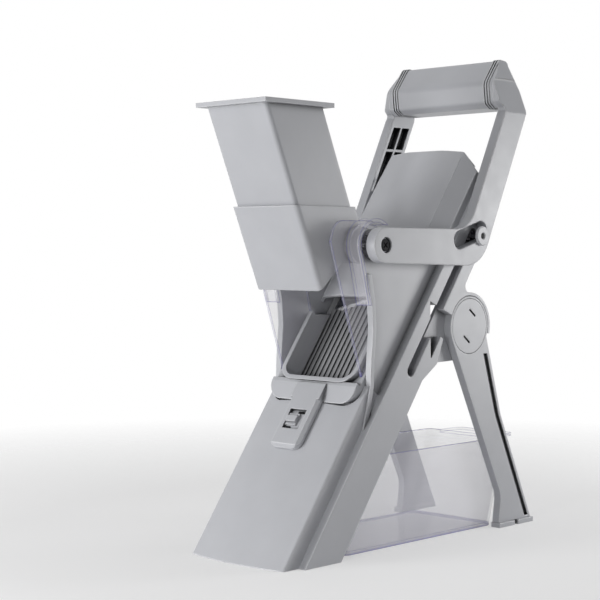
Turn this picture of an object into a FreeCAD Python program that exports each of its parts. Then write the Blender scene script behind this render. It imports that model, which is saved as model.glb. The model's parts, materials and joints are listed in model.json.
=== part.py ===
"""Upright lever mandoline slicer, as a parametric FreeCAD document (millimetres, +Z up).

X is the width with the middle plane at 0, Y runs from the front to the back and Z is the height
over the table. The long ramp leans back by ramp_angle. Pieces that follow the ramp are drawn in a
frame of their own, in which Y runs up the ramp and Z stands out from its front face.
"""
import FreeCAD, Part
import Sketcher
import math
import os
import re

# Driving dimensions in millimetres and degrees. "along" is measured up the ramp from the table and
# "out" is measured square to it, from the front face of the rails towards the user's food.
SIZES = {
    # Ramp, side frames and rails
    "ramp_angle": 54,
    "half_width": 55,
    "rail_width": 7,
    "plate_wall": 3,
    "rail_depth": 31,
    "rail_top": 347,
    "slot_depth": 15.2,
    "slot_width": 9,
    "slot_room": 2.5,
    "ledge_width": 3.5,
    "ledge_height": 3,
    "ledge_start": 24,
    # Wing that carries the pivot in front of the ramp
    "pivot_along": 234,
    "pivot_out": 73.6,
    "nose_radius": 12,
    "wing_top": 2.4,
    "wing_low_along": 160,
    "wing_low_out": 21.5,
    "wing_mid_along": 184,
    "wing_mid_out": 36,
    "wing_high_along": 200,
    "wing_high_out": 49.5,
    "wing_round": 25,
    "rim_width": 3.4,
    "rim_height": 2.3,
    "rim_tip": 116,
    "rim_reach": 0.62,
    "rim_tail": 8,
    "rail_round_front": 4,
    "rail_round_back": 12,
    "boss_radius": 9.6,
    "bolt_radius": 3,
    "bolt_head_radius": 5.4,
    "bolt_head": 3,
    "fit_gap": 0.3,
    # Lobe, leg and its axle
    "hub_along": 247.7,
    "hub_back": 55.3,
    "lobe_radius": 27,
    "lobe_root_low": 178,
    "lobe_root_high": 280,
    "lobe_notch_along": 264,
    "lobe_notch_round": 5,
    "web_along": 200.8,
    "web_back": 38.4,
    "ring_gap": 0.5,
    "fill_back": 2.5,
    "ring_shoulder": 30,
    "ring_open_rear": -15,
    "ring_open_front": 157,
    "hub_radius": 24,
    "axle_radius": 8,
    "axle_wall": 2.5,
    "axle_depth": 3.4,
    "cap_radius": 22,
    "cap_height": 1.8,
    "wrench_slot_length": 8,
    "wrench_slot_width": 1.8,
    "wrench_slot_depth": 1.2,
    "wrench_slot_place": 10.5,
    "leg_front_knee_y": 43.5,
    "leg_front_knee_z": 141,
    "leg_toe_y": 40.3,
    "leg_rear_knee_y": 42,
    "leg_rear_knee_z": 74,
    "leg_heel_y": 84.5,
    "leg_round": 40,
    "leg_toe_round": 18,
    "leg_groove": 5,
    "leg_groove_edge": 2.6,
    "leg_groove_depth": 2.6,
    "sole_height": 4,
    "sole_step": 1.2,
    "sole_lip": 2,
    "sole_notch": 5,
    # Covers
    "cover_half": 48.4,
    "cover_edge": 12.5,
    "cover_crown": 4.5,
    "cover_wall": 2.5,
    "cover_top": 147,
    "cover_tail": 12,
    "cover_round": 1.8,
    "shelf_out": 3,
    "shelf_wall": 1.6,
    "shelf_before": 9,
    "shelf_past": 8.2,
    "deck_half": 50.8,
    "deck_wall": 2.4,
    "deck_shoulder": 38,
    "deck_edge": 6,
    "deck_height": 17,
    "deck_crown": 3,
    "deck_start": 224,
    "deck_end": 369,
    "deck_corner": 12,
    # Rear brace
    "brace_along": 336,
    "brace_back": 24,
    "brace_radius": 5,
    # Sled, cartridge and guide pins
    "pin_rest": 307.7,
    "pin_stroke": 126,
    "pin_gap": 0.3,
    "neck_radius": 2.5,
    "pin_cap_radius": 7.8,
    "pin_cap_height": 2,
    "pin_cap_bore": 2.2,
    "pin_cap_sink": 1.2,
    "pin_cap_bevel": 0.7,
    "sled_start": 142,
    "sled_end": 322,
    "sled_half": 43.8,
    "sled_top": 3.1,
    "sled_wall": 4,
    "sled_block_drop": 14,
    "sled_block_length": 24,
    "sled_block_half": 41.2,
    "sled_block_width": 8,
    "sled_window_half": 33,
    "sled_window_start": 152,
    "sled_window_end": 286,
    "deck_plate_half": 39,
    "deck_plate_wall": 3,
    "deck_plate_end": 292,
    "rib_height": 1.2,
    "rib_width": 1.8,
    "rib_pitch": 5,
    "rib_count": 15,
    "blade_along": 236,
    "blade_slant": 20,
    "blade_half": 36.5,
    "blade_width": 17,
    "blade_wall": 0.8,
    "blade_gap": 7,
    "blade_gap_half": 33,
    # Gate: frame round the food opening, its tongue and the lock
    "gate_half": 44.3,
    "gate_low": 127.6,
    "gate_high": 206,
    "gate_under": 3,
    "gate_edge": 17.2,
    "gate_undercut": 0.7,
    "gate_lip": 22,
    "gate_corner": 13,
    "mouth_half": 36,
    "mouth_corner": 11,
    "lip_width": 3.6,
    "tongue_half": 15,
    "tongue_low": 84.5,
    "tongue_high": 141,
    "tongue_under": 17.4,
    "tongue_height": 5,
    "tongue_corner": 7,
    "tongue_bevel": 2.4,
    "lock_half": 8.5,
    "lock_low": 100,
    "lock_length": 17,
    "lock_depth": 2.6,
    "knob_length": 10.5,
    "knob_width": 5,
    "knob_height": 3.2,
    "knob_stem": 1.4,
    # Clear side guards with their hinge lugs
    "guard_inner": 40,
    "guard_wall": 2,
    "guard_front_y": 41,
    "guard_front_z": 235,
    "guard_top": 18.4,
    "guard_rear": 18,
    "guard_corner": 14,
    "lug_radius": 20,
    "lug_wall": 3,
    "lug_outer": 54.4,
    "lug_tail_y": 8.5,
    "lug_tail_z": 45,
    # Hopper and pusher, both leaning forward
    "lean_angle": 23,
    "hopper_half": 34.2,
    "hopper_front_y": 12.2,
    "hopper_length": 66.6,
    "hopper_top": 261.5,
    "hopper_lip": 198.5,
    "hopper_rear": 219,
    "hopper_notch_y": 62,
    "hopper_wall": 2.2,
    "hopper_round": 4,
    "hinge_boss_radius": 14,
    "pusher_gap": 0.5,
    "pusher_round": 3.4,
    "pusher_wall": 2,
    "pusher_top": 334,
    "pusher_out": 94,
    "pusher_floor": 2.4,
    "flange_width": 5.2,
    "flange_height": 3.4,
    # Lever handle, measured from its pivot
    "side_gap": 0.6,
    "arm_wall": 8.4,
    "arm_half": 13.2,
    "arm_drop": 16.5,
    "elbow_low_y": 116,
    "elbow_round": 30,
    "elbow_in_y": 100.4,
    "elbow_in_z": 12.7,
    "elbow_in_round": 25,
    "head_rear_y": 176.5,
    "head_rear_z": 109.7,
    "head_back_y": 174,
    "head_back_z": 127,
    "head_crest_y": 165,
    "head_crest_z": 150.5,
    "head_top_y": 156,
    "head_top_z": 151.5,
    "head_nose_y": 141,
    "head_nose_z": 132,
    "head_lip_y": 143,
    "head_lip_z": 116,
    "head_neck_y": 149,
    "head_neck_z": 111.5,
    "head_round": 8,
    "crest_round": 4,
    "lip_round": 3.5,
    "shoulder_z": 108,
    "shoulder_top_half": 50.5,
    "slot_tilt": 16,
    "arm_slot_width": 15,
    "arm_slot_travel": 26,
    "arm_slot_offset": 4.4,
    "screw_recess_radius": 6,
    "screw_recess_depth": 5,
    "channel_depth": 5.4,
    "channel_edge": 3.6,
    "channel_rib": 2.2,
    "channel_low": 34,
    "channel_high": 102,
    "channel_cross": 82,
    "ridge_height": 0.7,
    "ridge_width": 1.2,
    "ridge_pitch": 2.5,
    "ridge_first": 45.5,
    "ridge_count": 3,
    # Return springs
    "wire_radius": 0.7,
    "spring_pitch": 2.6,
    "spring_turns": 1.5,
    "spring_tang": 9,
    "spring_gap": 0.4,
    # Catch tray
    "tray_half": 42.5,
    "tray_wall": 2,
    "tray_height": 72,
    "tray_front": 78,
    "tray_back": 238,
    "tray_flare": 22,
    "tray_lip": 26,
    "tray_lip_half": 30,
    "tray_lip_wall": 2.5,
    "tray_round": 6.5,
    # Place of the frame's origin along Y, set from the finished pieces
    "origin_y": 0,
    "bite": 1,
    "wing_neck": 2,
    "spoke_step": 48,
    "ledge_short": 4,
    "cover_overrun": 4,
    "deck_round": 6,
    "deck_crown_round": 60,
    "arm_skew": 1.12,
    "guard_set": 5,
    "guard_waist": 8,
    "lug_open": 0.75,
    "hopper_overrun": 20,
    "leg_neck_angle": 22,
    "wrench_tilt": 36.87,
    "wing_tilt": 36.87,
}

doc = FreeCAD.newDocument("mandoline_slicer")
sheet = doc.addObject("Spreadsheet::Sheet", "Sizes")
for row, (alias, size) in enumerate(SIZES.items(), 1):
    sheet.set(f"A{row}", alias)
    sheet.set(f"B{row}", str(size))
    sheet.setAlias(f"B{row}", alias)
doc.recompute()

ALIAS = re.compile(r"\b(" + "|".join(sorted(SIZES, key=len, reverse=True)) + r")\b")
nodes = []


def bind(formula):
    """Formula of size names, written as an expression on the sheet's cells."""
    return ALIAS.sub(r"Sizes.\1", str(formula))


def value(formula):
    """Number that a formula of size names has now."""
    return float(sheet.evalExpression(bind(formula)))


# Layers across the width, from the middle outwards
PLATE_OUT = "(half_width - rail_width)"
PLATE_IN = f"({PLATE_OUT} - plate_wall)"
ARM_IN = "(half_width + side_gap)"
ARM_OUT = f"({ARM_IN} + arm_wall)"

# Pivot and leg hub, from the ramp's own frame to the table's
PIVOT_Y = "(pivot_along * cos(ramp_angle) - pivot_out * sin(ramp_angle))"
PIVOT_Z = "(pivot_along * sin(ramp_angle) + pivot_out * cos(ramp_angle))"
HUB_Y = "(hub_along * cos(ramp_angle) + hub_back * sin(ramp_angle))"
HUB_Z = "(hub_along * sin(ramp_angle) - hub_back * cos(ramp_angle))"

# Guide pin at rest, measured from the pivot
PIN_Y = f"(pin_rest * cos(ramp_angle) + slot_depth * sin(ramp_angle) - {PIVOT_Y})"
PIN_Z = f"(pin_rest * sin(ramp_angle) - slot_depth * cos(ramp_angle) - {PIVOT_Z})"

FRAMES = {
    "table": ("origin_y", "0"),
    "ramp": ("origin_y", "0"),
    "pivot": (f"origin_y + {PIVOT_Y}", PIVOT_Z),
    "hub": (f"origin_y + {HUB_Y}", HUB_Z),
}


def new_body(label, frame):
    """Empty body of one node, placed in one of the four frames."""
    body = doc.addObject("PartDesign::Body", label)
    body.Label = label
    place(body, frame)
    nodes.append(body)
    return body


def place(piece, frame):
    """Put a piece into its frame, tied to the sheet."""
    tilt = value("ramp_angle") if frame == "ramp" else 0
    piece.Placement = FreeCAD.Placement(FreeCAD.Vector(), FreeCAD.Rotation(FreeCAD.Vector(1, 0, 0), tilt))
    if frame == "ramp":
        piece.setExpression("Placement.Rotation.Angle", bind("ramp_angle"))
    base_y, base_z = FRAMES[frame]
    piece.setExpression("Placement.Base.y", bind(base_y))
    piece.setExpression("Placement.Base.z", bind(base_z))


def new_sketch(body, plane, offset):
    """Sketch on one of the body's own planes, moved along the plane's normal."""
    sketch = body.newObject("Sketcher::SketchObject", "outline")
    origin_plane = [item for item in body.Origin.OriginFeatures if item.Role == plane][0]
    sketch.AttachmentSupport = [(origin_plane, "")]
    sketch.MapMode = "FlatFace"
    sketch.AttachmentOffset = FreeCAD.Placement(FreeCAD.Vector(0, 0, value(offset)), FreeCAD.Rotation())
    sketch.setExpression("AttachmentOffset.Base.z", bind(offset))
    return sketch


def tie(sketch, constraints):
    """Add constraints; each is (parts of the constraint, formula or None)."""
    made = []
    for parts, formula in constraints:
        made.append(Sketcher.Constraint(*parts) if formula is None
                    else Sketcher.Constraint(*parts, value(formula)))
    first = len(sketch.Constraints)
    sketch.addConstraint(made)
    for index, (_, formula) in enumerate(constraints, first):
        if formula is not None:
            sketch.setExpression(f"Constraints[{index}]", bind(formula))


def corner_arc(before, corner, after, radius):
    """Points where a round corner starts and ends, its centre, and whether it turns left."""
    to_before = (before - corner).normalize()
    to_after = (after - corner).normalize()
    half = math.acos(max(-1.0, min(1.0, to_before.dot(to_after)))) / 2
    reach = radius / math.tan(half)
    middle = (to_before + to_after).normalize()
    centre = corner + middle * (radius / math.sin(half))
    left = to_after.cross(to_before).z > 0
    return corner + to_before * reach, corner + to_after * reach, centre, left


def draw_outline(sketch, corners):
    """Closed outline; a corner is (x, y) or (x, y, radius), each a formula of sizes."""
    count = len(corners)
    points = [FreeCAD.Vector(value(corner[0]), value(corner[1]), 0) for corner in corners]
    arcs = {}
    for index, corner in enumerate(corners):
        if len(corner) == 3:
            before = points[index - 1] - FreeCAD.Vector()
            after = points[(index + 1) % count] - FreeCAD.Vector()
            arcs[index] = corner_arc(before, points[index], after, value(corner[2]))
    for index in range(count):
        following = (index + 1) % count
        start = arcs[index][1] if index in arcs else points[index]
        end = arcs[following][0] if following in arcs else points[following]
        sketch.addGeometry(Part.LineSegment(start, end), False)
    constraints = []
    for index, corner in enumerate(corners):
        incoming = (index - 1) % count
        if index not in arcs:
            constraints.append((("Coincident", incoming, 2, index, 1), None))
            constraints.append((("DistanceX", -1, 1, index, 1), corner[0]))
            constraints.append((("DistanceY", -1, 1, index, 1), corner[1]))
            continue
        entry, leave, centre, left = arcs[index]
        first, last = (entry, leave) if left else (leave, entry)
        turn = [math.atan2(point.y - centre.y, point.x - centre.x) for point in (first, last)]
        circle = Part.Circle(centre, FreeCAD.Vector(0, 0, 1), value(corner[2]))
        arc = sketch.addGeometry(Part.ArcOfCircle(circle, turn[0], turn[1]), False)
        vertex = sketch.addGeometry(Part.Point(points[index]), True)
        entry_end, leave_end = (1, 2) if left else (2, 1)
        constraints.append((("Tangent", incoming, 2, arc, entry_end), None))
        constraints.append((("Tangent", arc, leave_end, index, 1), None))
        constraints.append((("Radius", arc), corner[2]))
        constraints.append((("PointOnObject", vertex, 1, incoming), None))
        constraints.append((("PointOnObject", vertex, 1, index), None))
        constraints.append((("DistanceX", -1, 1, vertex, 1), corner[0]))
        constraints.append((("DistanceY", -1, 1, vertex, 1), corner[1]))
    tie(sketch, constraints)


def draw_circle(sketch, centre, radius):
    """One circle with its centre and radius tied to the sheet."""
    middle = FreeCAD.Vector(value(centre[0]), value(centre[1]), 0)
    circle = sketch.addGeometry(Part.Circle(middle, FreeCAD.Vector(0, 0, 1), value(radius)), False)
    tie(sketch, [
        (("DistanceX", -1, 1, circle, 3), centre[0]),
        (("DistanceY", -1, 1, circle, 3), centre[1]),
        (("Radius", circle), radius),
    ])


def draw_slot(sketch, first, last, radius):
    """Slot with round ends about two centres."""
    ends = [FreeCAD.Vector(value(point[0]), value(point[1]), 0) for point in (first, last)]
    course = (ends[1] - ends[0]).normalize()
    side = FreeCAD.Vector(-course.y, course.x, 0) * value(radius)
    heading = math.atan2(course.y, course.x)
    quarter = math.pi / 2
    back = Part.ArcOfCircle(Part.Circle(ends[0], FreeCAD.Vector(0, 0, 1), value(radius)),
                            heading + quarter, heading + 3 * quarter)
    front = Part.ArcOfCircle(Part.Circle(ends[1], FreeCAD.Vector(0, 0, 1), value(radius)),
                             heading - quarter, heading + quarter)
    sketch.addGeometry(back, False)
    sketch.addGeometry(Part.LineSegment(ends[0] - side, ends[1] - side), False)
    sketch.addGeometry(front, False)
    sketch.addGeometry(Part.LineSegment(ends[1] + side, ends[0] + side), False)
    tie(sketch, [
        (("Tangent", 0, 2, 1, 1), None),
        (("Tangent", 1, 2, 2, 1), None),
        (("Tangent", 2, 2, 3, 1), None),
        (("Tangent", 3, 2, 0, 1), None),
        (("DistanceX", -1, 1, 0, 3), first[0]),
        (("DistanceY", -1, 1, 0, 3), first[1]),
        (("DistanceX", -1, 1, 2, 3), last[0]),
        (("DistanceY", -1, 1, 2, 3), last[1]),
        (("Radius", 0), radius),
    ])


def draw_crown(sketch, half, edge, crown, base):
    """Closed outline under one long arc: flat base, straight sides and a crowned top."""
    rise = f"(({half}) ^ 2 + ({crown}) ^ 2) / (2 * ({crown}))"
    radius = value(rise)
    top = value(edge) + value(crown)
    reach = math.asin(value(half) / radius)
    circle = Part.Circle(FreeCAD.Vector(0, top - radius, 0), FreeCAD.Vector(0, 0, 1), radius)
    left = FreeCAD.Vector(-value(half), value(edge), 0)
    right = FreeCAD.Vector(value(half), value(edge), 0)
    floor_left = FreeCAD.Vector(-value(half), value(base), 0)
    floor_right = FreeCAD.Vector(value(half), value(base), 0)
    sketch.addGeometry(Part.ArcOfCircle(circle, math.pi / 2 - reach, math.pi / 2 + reach), False)
    sketch.addGeometry(Part.LineSegment(left, floor_left), False)
    sketch.addGeometry(Part.LineSegment(floor_left, floor_right), False)
    sketch.addGeometry(Part.LineSegment(floor_right, right), False)
    tie(sketch, [
        (("Coincident", 0, 2, 1, 1), None),
        (("Coincident", 1, 2, 2, 1), None),
        (("Coincident", 2, 2, 3, 1), None),
        (("Coincident", 3, 2, 0, 1), None),
        (("DistanceX", -1, 1, 1, 1), f"-({half})"),
        (("DistanceY", -1, 1, 1, 1), edge),
        (("DistanceX", -1, 1, 1, 2), f"-({half})"),
        (("DistanceY", -1, 1, 1, 2), base),
        (("DistanceX", -1, 1, 2, 2), half),
        (("DistanceY", -1, 1, 2, 2), base),
        (("DistanceX", -1, 1, 3, 2), half),
        (("DistanceY", -1, 1, 3, 2), edge),
        (("Radius", 0), rise),
    ])


def extrude(body, kind, plane, start, end, draw, *drawing):
    """Pad or pocket between two places along the plane's axis (X, Y or Z)."""
    away = plane == "XZ_Plane"
    at_end = (kind == "Pad") == away
    where = end if at_end else start
    if kind == "Pocket":
        where = start if away else end
    sketch = new_sketch(body, plane, f"-({where})" if away else where)
    draw(sketch, *drawing)
    before = body.Shape.Volume if body.Tip else 0
    feature = body.newObject(f"PartDesign::{kind}", kind.lower())
    feature.Profile = sketch
    feature.Type = "Length"
    feature.setExpression("Length", bind(f"({end}) - ({start})"))
    doc.recompute()
    change = body.Shape.Volume - before
    if (change <= 0) == (kind == "Pad"):
        raise RuntimeError(f"{body.Label}: a {kind.lower()} on {plane} changes nothing ({change:.3f})")
    return feature


def pad(body, plane, start, end, draw, *drawing):
    """Add a drawn outline between two places."""
    return extrude(body, "Pad", plane, start, end, draw, *drawing)


def cut(body, plane, start, end, draw, *drawing):
    """Take a drawn outline away between two places."""
    return extrude(body, "Pocket", plane, start, end, draw, *drawing)


def rectangle(low_x, high_x, low_y, high_y):
    """Corners of an upright rectangle."""
    return [(low_x, low_y), (high_x, low_y), (high_x, high_y), (low_x, high_y)]


def round_edges(body, radius, chosen):
    """Fillet the edges that a test picks."""
    doc.recompute()
    base = body.Tip
    names = [f"Edge{index}" for index, edge in enumerate(base.Shape.Edges, 1) if chosen(edge)]
    fillet = body.newObject("PartDesign::Fillet", "fillet")
    fillet.Base = (base, names)
    fillet.setExpression("Radius", bind(radius))
    doc.recompute()


def bevel_edges(body, size, chosen):
    """Chamfer the edges that a test picks."""
    doc.recompute()
    base = body.Tip
    names = [f"Edge{index}" for index, edge in enumerate(base.Shape.Edges, 1) if chosen(edge)]
    bevel = body.newObject("PartDesign::Chamfer", "bevel")
    bevel.Base = (base, names)
    bevel.setExpression("Size", bind(size))
    doc.recompute()


def lies_at(axis, where):
    """Test for edges that lie flat at one place along X, Y or Z of the body's frame."""
    place_now = value(where)

    def test(edge):
        box = edge.BoundBox
        low = getattr(box, axis + "Min")
        high = getattr(box, axis + "Max")
        return abs(low - place_now) < 1e-4 and abs(high - place_now) < 1e-4
    return test


def runs_along(axis, first, first_place, second, second_place):
    """Test for straight edges along one axis, at a place on either side of the middle and a height."""
    first_now = value(first_place)
    second_now = value(second_place)

    def test(edge):
        box = edge.BoundBox
        flat = [getattr(box, name + "Max") - getattr(box, name + "Min") < 1e-4 for name in (first, second)]
        if not all(flat) or getattr(box, axis + "Length") < 1:
            return False
        return (abs(abs(getattr(box, first + "Min")) - first_now) < 1e-4
                and abs(getattr(box, second + "Min") - second_now) < 1e-4)
    return test


def span(side, inner, outer):
    """Range across the width on the right (1) or left (-1) side."""
    return (inner, outer) if side > 0 else (f"-({outer})", f"-({inner})")


SIDES = (("right", 1), ("left", -1))


def side_frame(name, side):
    """Moulded side: thin plate with wing and lobe, thick slotted rail, pivot boss and sled ledge."""
    body = new_body(f"side_frame_{name}", "ramp")
    plate = span(side, PLATE_IN, PLATE_OUT)
    rail = span(side, PLATE_OUT, "half_width")
    foot_run = "rail_depth / tan(ramp_angle)"
    bar = [("0", "0"), ("rail_top", "0", "rail_round_front"),
           ("rail_top", "-rail_depth", "rail_round_back"), (foot_run, "-rail_depth")]
    pad(body, "YZ_Plane", *plate, draw_outline, bar)
    pad(body, "YZ_Plane", *rail, draw_outline, bar)
    nose_front = ("pivot_along - nose_radius * cos(ramp_angle)",
                  "pivot_out + nose_radius * sin(ramp_angle)")
    nose_top = ("pivot_along + nose_radius * sin(ramp_angle)", "pivot_out + nose_radius * cos(ramp_angle)")
    neck_y = "(nose_radius + wing_neck)"
    neck = (f"pivot_along + {neck_y} * cos(ramp_angle) + wing_top * sin(ramp_angle)",
            f"pivot_out - {neck_y} * sin(ramp_angle) + wing_top * cos(ramp_angle)")
    wing_end = f"(({PIVOT_Z} + wing_top) / sin(ramp_angle))"
    wing = [
        ("cover_top", "-bite"), ("cover_top", "cover_edge"),
        ("wing_low_along", "wing_low_out", "wing_round"),
        ("wing_mid_along", "wing_mid_out", "wing_round"),
        ("wing_high_along", "wing_high_out", "wing_round"),
        nose_front, nose_top, neck, (wing_end, "0"), (wing_end, "-bite"),
    ]
    pad(body, "YZ_Plane", *plate, draw_outline, wing)
    pivot = ("pivot_along", "pivot_out")
    pad(body, "YZ_Plane", *plate, draw_circle, pivot, "nose_radius")
    hub = ("hub_along", "-hub_back")
    hub_foot = ("hub_along - lobe_radius * sin(ramp_angle)", "-hub_back - lobe_radius * cos(ramp_angle)")
    hub_top = ("hub_along + lobe_radius * cos(ring_shoulder)",
               "-hub_back + lobe_radius * sin(ring_shoulder)")
    notch = ("lobe_notch_along", "-rail_depth - ring_gap", "lobe_notch_round")
    web = [
        ("lobe_root_low", "-rail_depth + bite"), ("web_along", "-web_back"), hub_foot, hub, hub_top, notch,
        ("lobe_root_high", "-rail_depth"), ("lobe_root_high", "-rail_depth + bite"),
    ]
    pad(body, "YZ_Plane", *plate, draw_outline, web)
    pad(body, "YZ_Plane", *plate, draw_circle, hub, "lobe_radius")
    crest = [
        ("hub_along", "-rail_depth + bite"), hub, hub_top, notch,
        ("lobe_root_high", "-rail_depth"), ("lobe_root_high", "-rail_depth + bite"),
    ]
    pad(body, "YZ_Plane", *rail, draw_outline, crest)
    pad(body, "YZ_Plane", *rail, draw_circle, hub, "lobe_radius")
    cut(body, "YZ_Plane", *rail, draw_circle, hub, "hub_radius + ring_gap")

    def spoke(angle):
        return (f"hub_along + 2 * lobe_radius * cos({angle} - ramp_angle)",
                f"-hub_back + 2 * lobe_radius * sin({angle} - ramp_angle)")
    sweep = [hub, spoke("ring_open_front"), spoke("(ring_open_front + spoke_step)"),
             spoke("(ring_open_rear - 2 * spoke_step)"), spoke("(ring_open_rear - spoke_step)"),
             spoke("ring_open_rear")]
    cut(body, "YZ_Plane", *rail, draw_outline, sweep)
    fill = [
        ("lobe_root_low", "-rail_depth + bite"), ("web_along", "-web_back"),
        ("hub_along - lobe_radius", "-rail_depth - fill_back"),
        ("hub_along - lobe_radius", "-rail_depth + bite"),
    ]
    pad(body, "YZ_Plane", *rail, draw_outline, fill)
    wing_edge = [("cover_top", "cover_edge"), ("wing_low_along", "wing_low_out"),
                 ("wing_mid_along", "wing_mid_out"), ("wing_high_along", "wing_high_out"),
                 ("wing_high_along + rim_reach * (pivot_along - nose_radius - wing_high_along)",
                  "wing_high_out + rim_reach * (pivot_out - wing_high_out)")]
    rim_outer = span(side, PLATE_OUT, f"{PLATE_OUT} + rim_height")
    back = [(f"{along} + rim_width * sin(wing_tilt)", f"{out} - rim_width * cos(wing_tilt)")
            for along, out in wing_edge]
    pad(body, "YZ_Plane", *rim_outer, draw_outline, wing_edge + back[::-1])
    tip = [("rim_tip", "-bite"), ("rim_tip", "fit_gap"), ("cover_top + fit_gap", "cover_edge"), back[0],
           ("rim_tip + rim_tail", "-bite")]
    beside_cover = span(side, "cover_half + fit_gap", f"{PLATE_OUT} + rim_height")
    pad(body, "YZ_Plane", *beside_cover, draw_outline, tip)
    pad(body, "YZ_Plane", *span(side, PLATE_OUT, "half_width + side_gap - fit_gap"),
        draw_circle, pivot, "boss_radius")
    ledge_top = "-(sled_top + sled_wall + pin_gap)"
    ledge = rectangle("ledge_start", "rail_top - ledge_short", f"{ledge_top} - ledge_height", ledge_top)
    pad(body, "YZ_Plane", *span(side, f"{PLATE_IN} - ledge_width", PLATE_IN), draw_outline, ledge)
    low_end = ("pin_rest - pin_stroke - slot_room", "-slot_depth")
    high_end = ("pin_rest + slot_room", "-slot_depth")
    through = span(side, f"{PLATE_IN} - ledge_width", "half_width + bite")
    cut(body, "YZ_Plane", *span(side, PLATE_IN, "half_width"),
        draw_slot, low_end, high_end, "slot_width / 2")
    cut(body, "YZ_Plane", *through, draw_circle, pivot, "bolt_radius + fit_gap / 2")
    cut(body, "YZ_Plane", *plate, draw_circle, hub, "axle_radius + fit_gap")
    brace = ("brace_along", "-brace_back")
    cut(body, "YZ_Plane", *span(side, PLATE_IN, f"{PLATE_OUT}"), draw_circle, brace, "brace_radius")
    return body


def front_cover():
    """Crowned lower cover, open behind, cut out for the gate and level at the table."""
    body = new_body("front_cover", "ramp")
    tail = "-cover_tail"
    pad(body, "XZ_Plane", tail, "cover_top", draw_crown, "cover_half", "cover_edge", "cover_crown", "0")
    inner = "cover_half - cover_wall"
    cut(body, "XZ_Plane", tail, "cover_top",
        draw_crown, inner, "cover_edge - cover_wall", "cover_crown", "0")
    round_edges(body, "cover_round", runs_along("Y", "X", "cover_half", "Z", "cover_edge"))
    notch_half = "gate_half + fit_gap"
    notch = [
        (f"-({notch_half})", "gate_low - fit_gap", "gate_corner"),
        (notch_half, "gate_low - fit_gap", "gate_corner"),
        (notch_half, "cover_top + bite"), (f"-({notch_half})", "cover_top + bite"),
    ]
    cut(body, "XY_Plane", "0", "cover_edge + cover_crown + bite", draw_outline, notch)
    reach = "cover_edge + cover_crown + cover_overrun"
    below = [
        ("0", "0"), (f"-({reach}) / tan(ramp_angle)", reach),
        (f"-({reach}) / tan(ramp_angle) - cover_tail - cover_edge", reach),
        ("-2 * cover_tail - cover_edge", "0"),
    ]
    cut(body, "YZ_Plane", "-cover_half - bite", "cover_half + bite", draw_outline, below)
    shelf_half = "cover_half - cover_wall + bite / 2"
    shelf = rectangle(f"-({shelf_half})", shelf_half, "gate_low - shelf_before", "gate_low + shelf_past")
    pad(body, "XY_Plane", "shelf_out", "shelf_out + shelf_wall", draw_outline, shelf)
    return body


def deck_outline(inset):
    """Section of the upper cover: two flanks and a shoulder on each side."""
    half = f"(deck_half - {inset})"
    shoulder = f"(deck_shoulder - {inset} / 2)"
    height = f"(deck_height + deck_crown - {inset})"
    edge = f"(deck_edge - {inset} / 2)"
    return [
        (f"-{half}", "0"), (half, "0"), (half, edge), (shoulder, f"{height} - deck_crown", "deck_round"),
        (f"{shoulder} / 2", height, "deck_crown_round"), (f"-{shoulder} / 2", height, "deck_crown_round"),
        (f"-{shoulder}", f"{height} - deck_crown", "deck_round"), (f"-{half}", edge),
    ]


def upper_cover():
    """Cover over the parked sled, closed at the top end with round corners."""
    body = new_body("upper_cover", "ramp")
    pad(body, "XZ_Plane", "deck_start", "deck_end", draw_outline, deck_outline("0"))
    cut(body, "XZ_Plane", "deck_start", "deck_end - deck_wall", draw_outline, deck_outline("deck_wall"))
    wing_end = f"(({PIVOT_Z} + wing_top) / sin(ramp_angle))"
    for side in (1, -1):
        low_x, high_x = span(side, f"{PLATE_IN} - fit_gap", "deck_half + bite")
        cut(body, "XY_Plane", "0", "deck_height + deck_crown + bite", draw_outline,
            rectangle(low_x, high_x, "deck_start", f"{wing_end} + fit_gap"))
    for side in (1, -1):
        corner = [
            (f"{side} * deck_half", "deck_end - deck_corner"),
            (f"{side} * (deck_half + bite)", "deck_end - deck_corner"),
            (f"{side} * (deck_half + bite)", "deck_end + bite"),
            (f"{side} * (deck_half - deck_corner)", "deck_end + bite"),
            (f"{side} * (deck_half - deck_corner)", "deck_end"),
        ]
        cut(body, "XY_Plane", "0", "deck_height + deck_crown + bite", draw_outline,
            corner if side > 0 else corner[::-1])
    return body


def rear_brace():
    """Cross rod that ties both side frames behind the sled."""
    body = new_body("rear_brace", "ramp")
    pad(body, "YZ_Plane", f"-{PLATE_OUT}", PLATE_OUT, draw_circle, ("brace_along", "-brace_back"),
        "brace_radius")
    return body


def sled_frame():
    """Plate that carries the cartridge, open under the blade, with a block for each guide pin."""
    body = new_body("sled_frame", "ramp")
    low = "-(sled_top + sled_wall)"
    pad(body, "XY_Plane", low, "-sled_top", draw_outline,
        rectangle("-sled_half", "sled_half", "sled_start", "sled_end"))
    cut(body, "XY_Plane", low, "-sled_top", draw_outline,
        rectangle("-sled_window_half", "sled_window_half", "sled_window_start", "sled_window_end"))
    inner = "deck_plate_half + fit_gap"
    for side in (1, -1):
        low_x, high_x = span(side, inner, "sled_half")
        pad(body, "XY_Plane", "-sled_top", "0", draw_outline,
            rectangle(low_x, high_x, "sled_start", "sled_end"))
        low_x, high_x = span(side, "sled_block_half - sled_block_width", "sled_block_half")
        block = rectangle("pin_rest - sled_block_length / 2", "pin_rest + sled_block_length / 2",
                          f"{low} - sled_block_drop", low)
        pad(body, "YZ_Plane", low_x, high_x, draw_outline, block)
    pad(body, "XY_Plane", "-sled_top", "0", draw_outline,
        rectangle(f"-({inner})", inner, "deck_plate_end + fit_gap", "sled_end"))
    for side in (1, -1):
        cut(body, "YZ_Plane", *span(side, "sled_block_half - sled_block_width", "sled_block_half"),
            draw_circle, ("pin_rest", "-slot_depth"), "slot_width / 2 - pin_gap")
    return body


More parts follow.
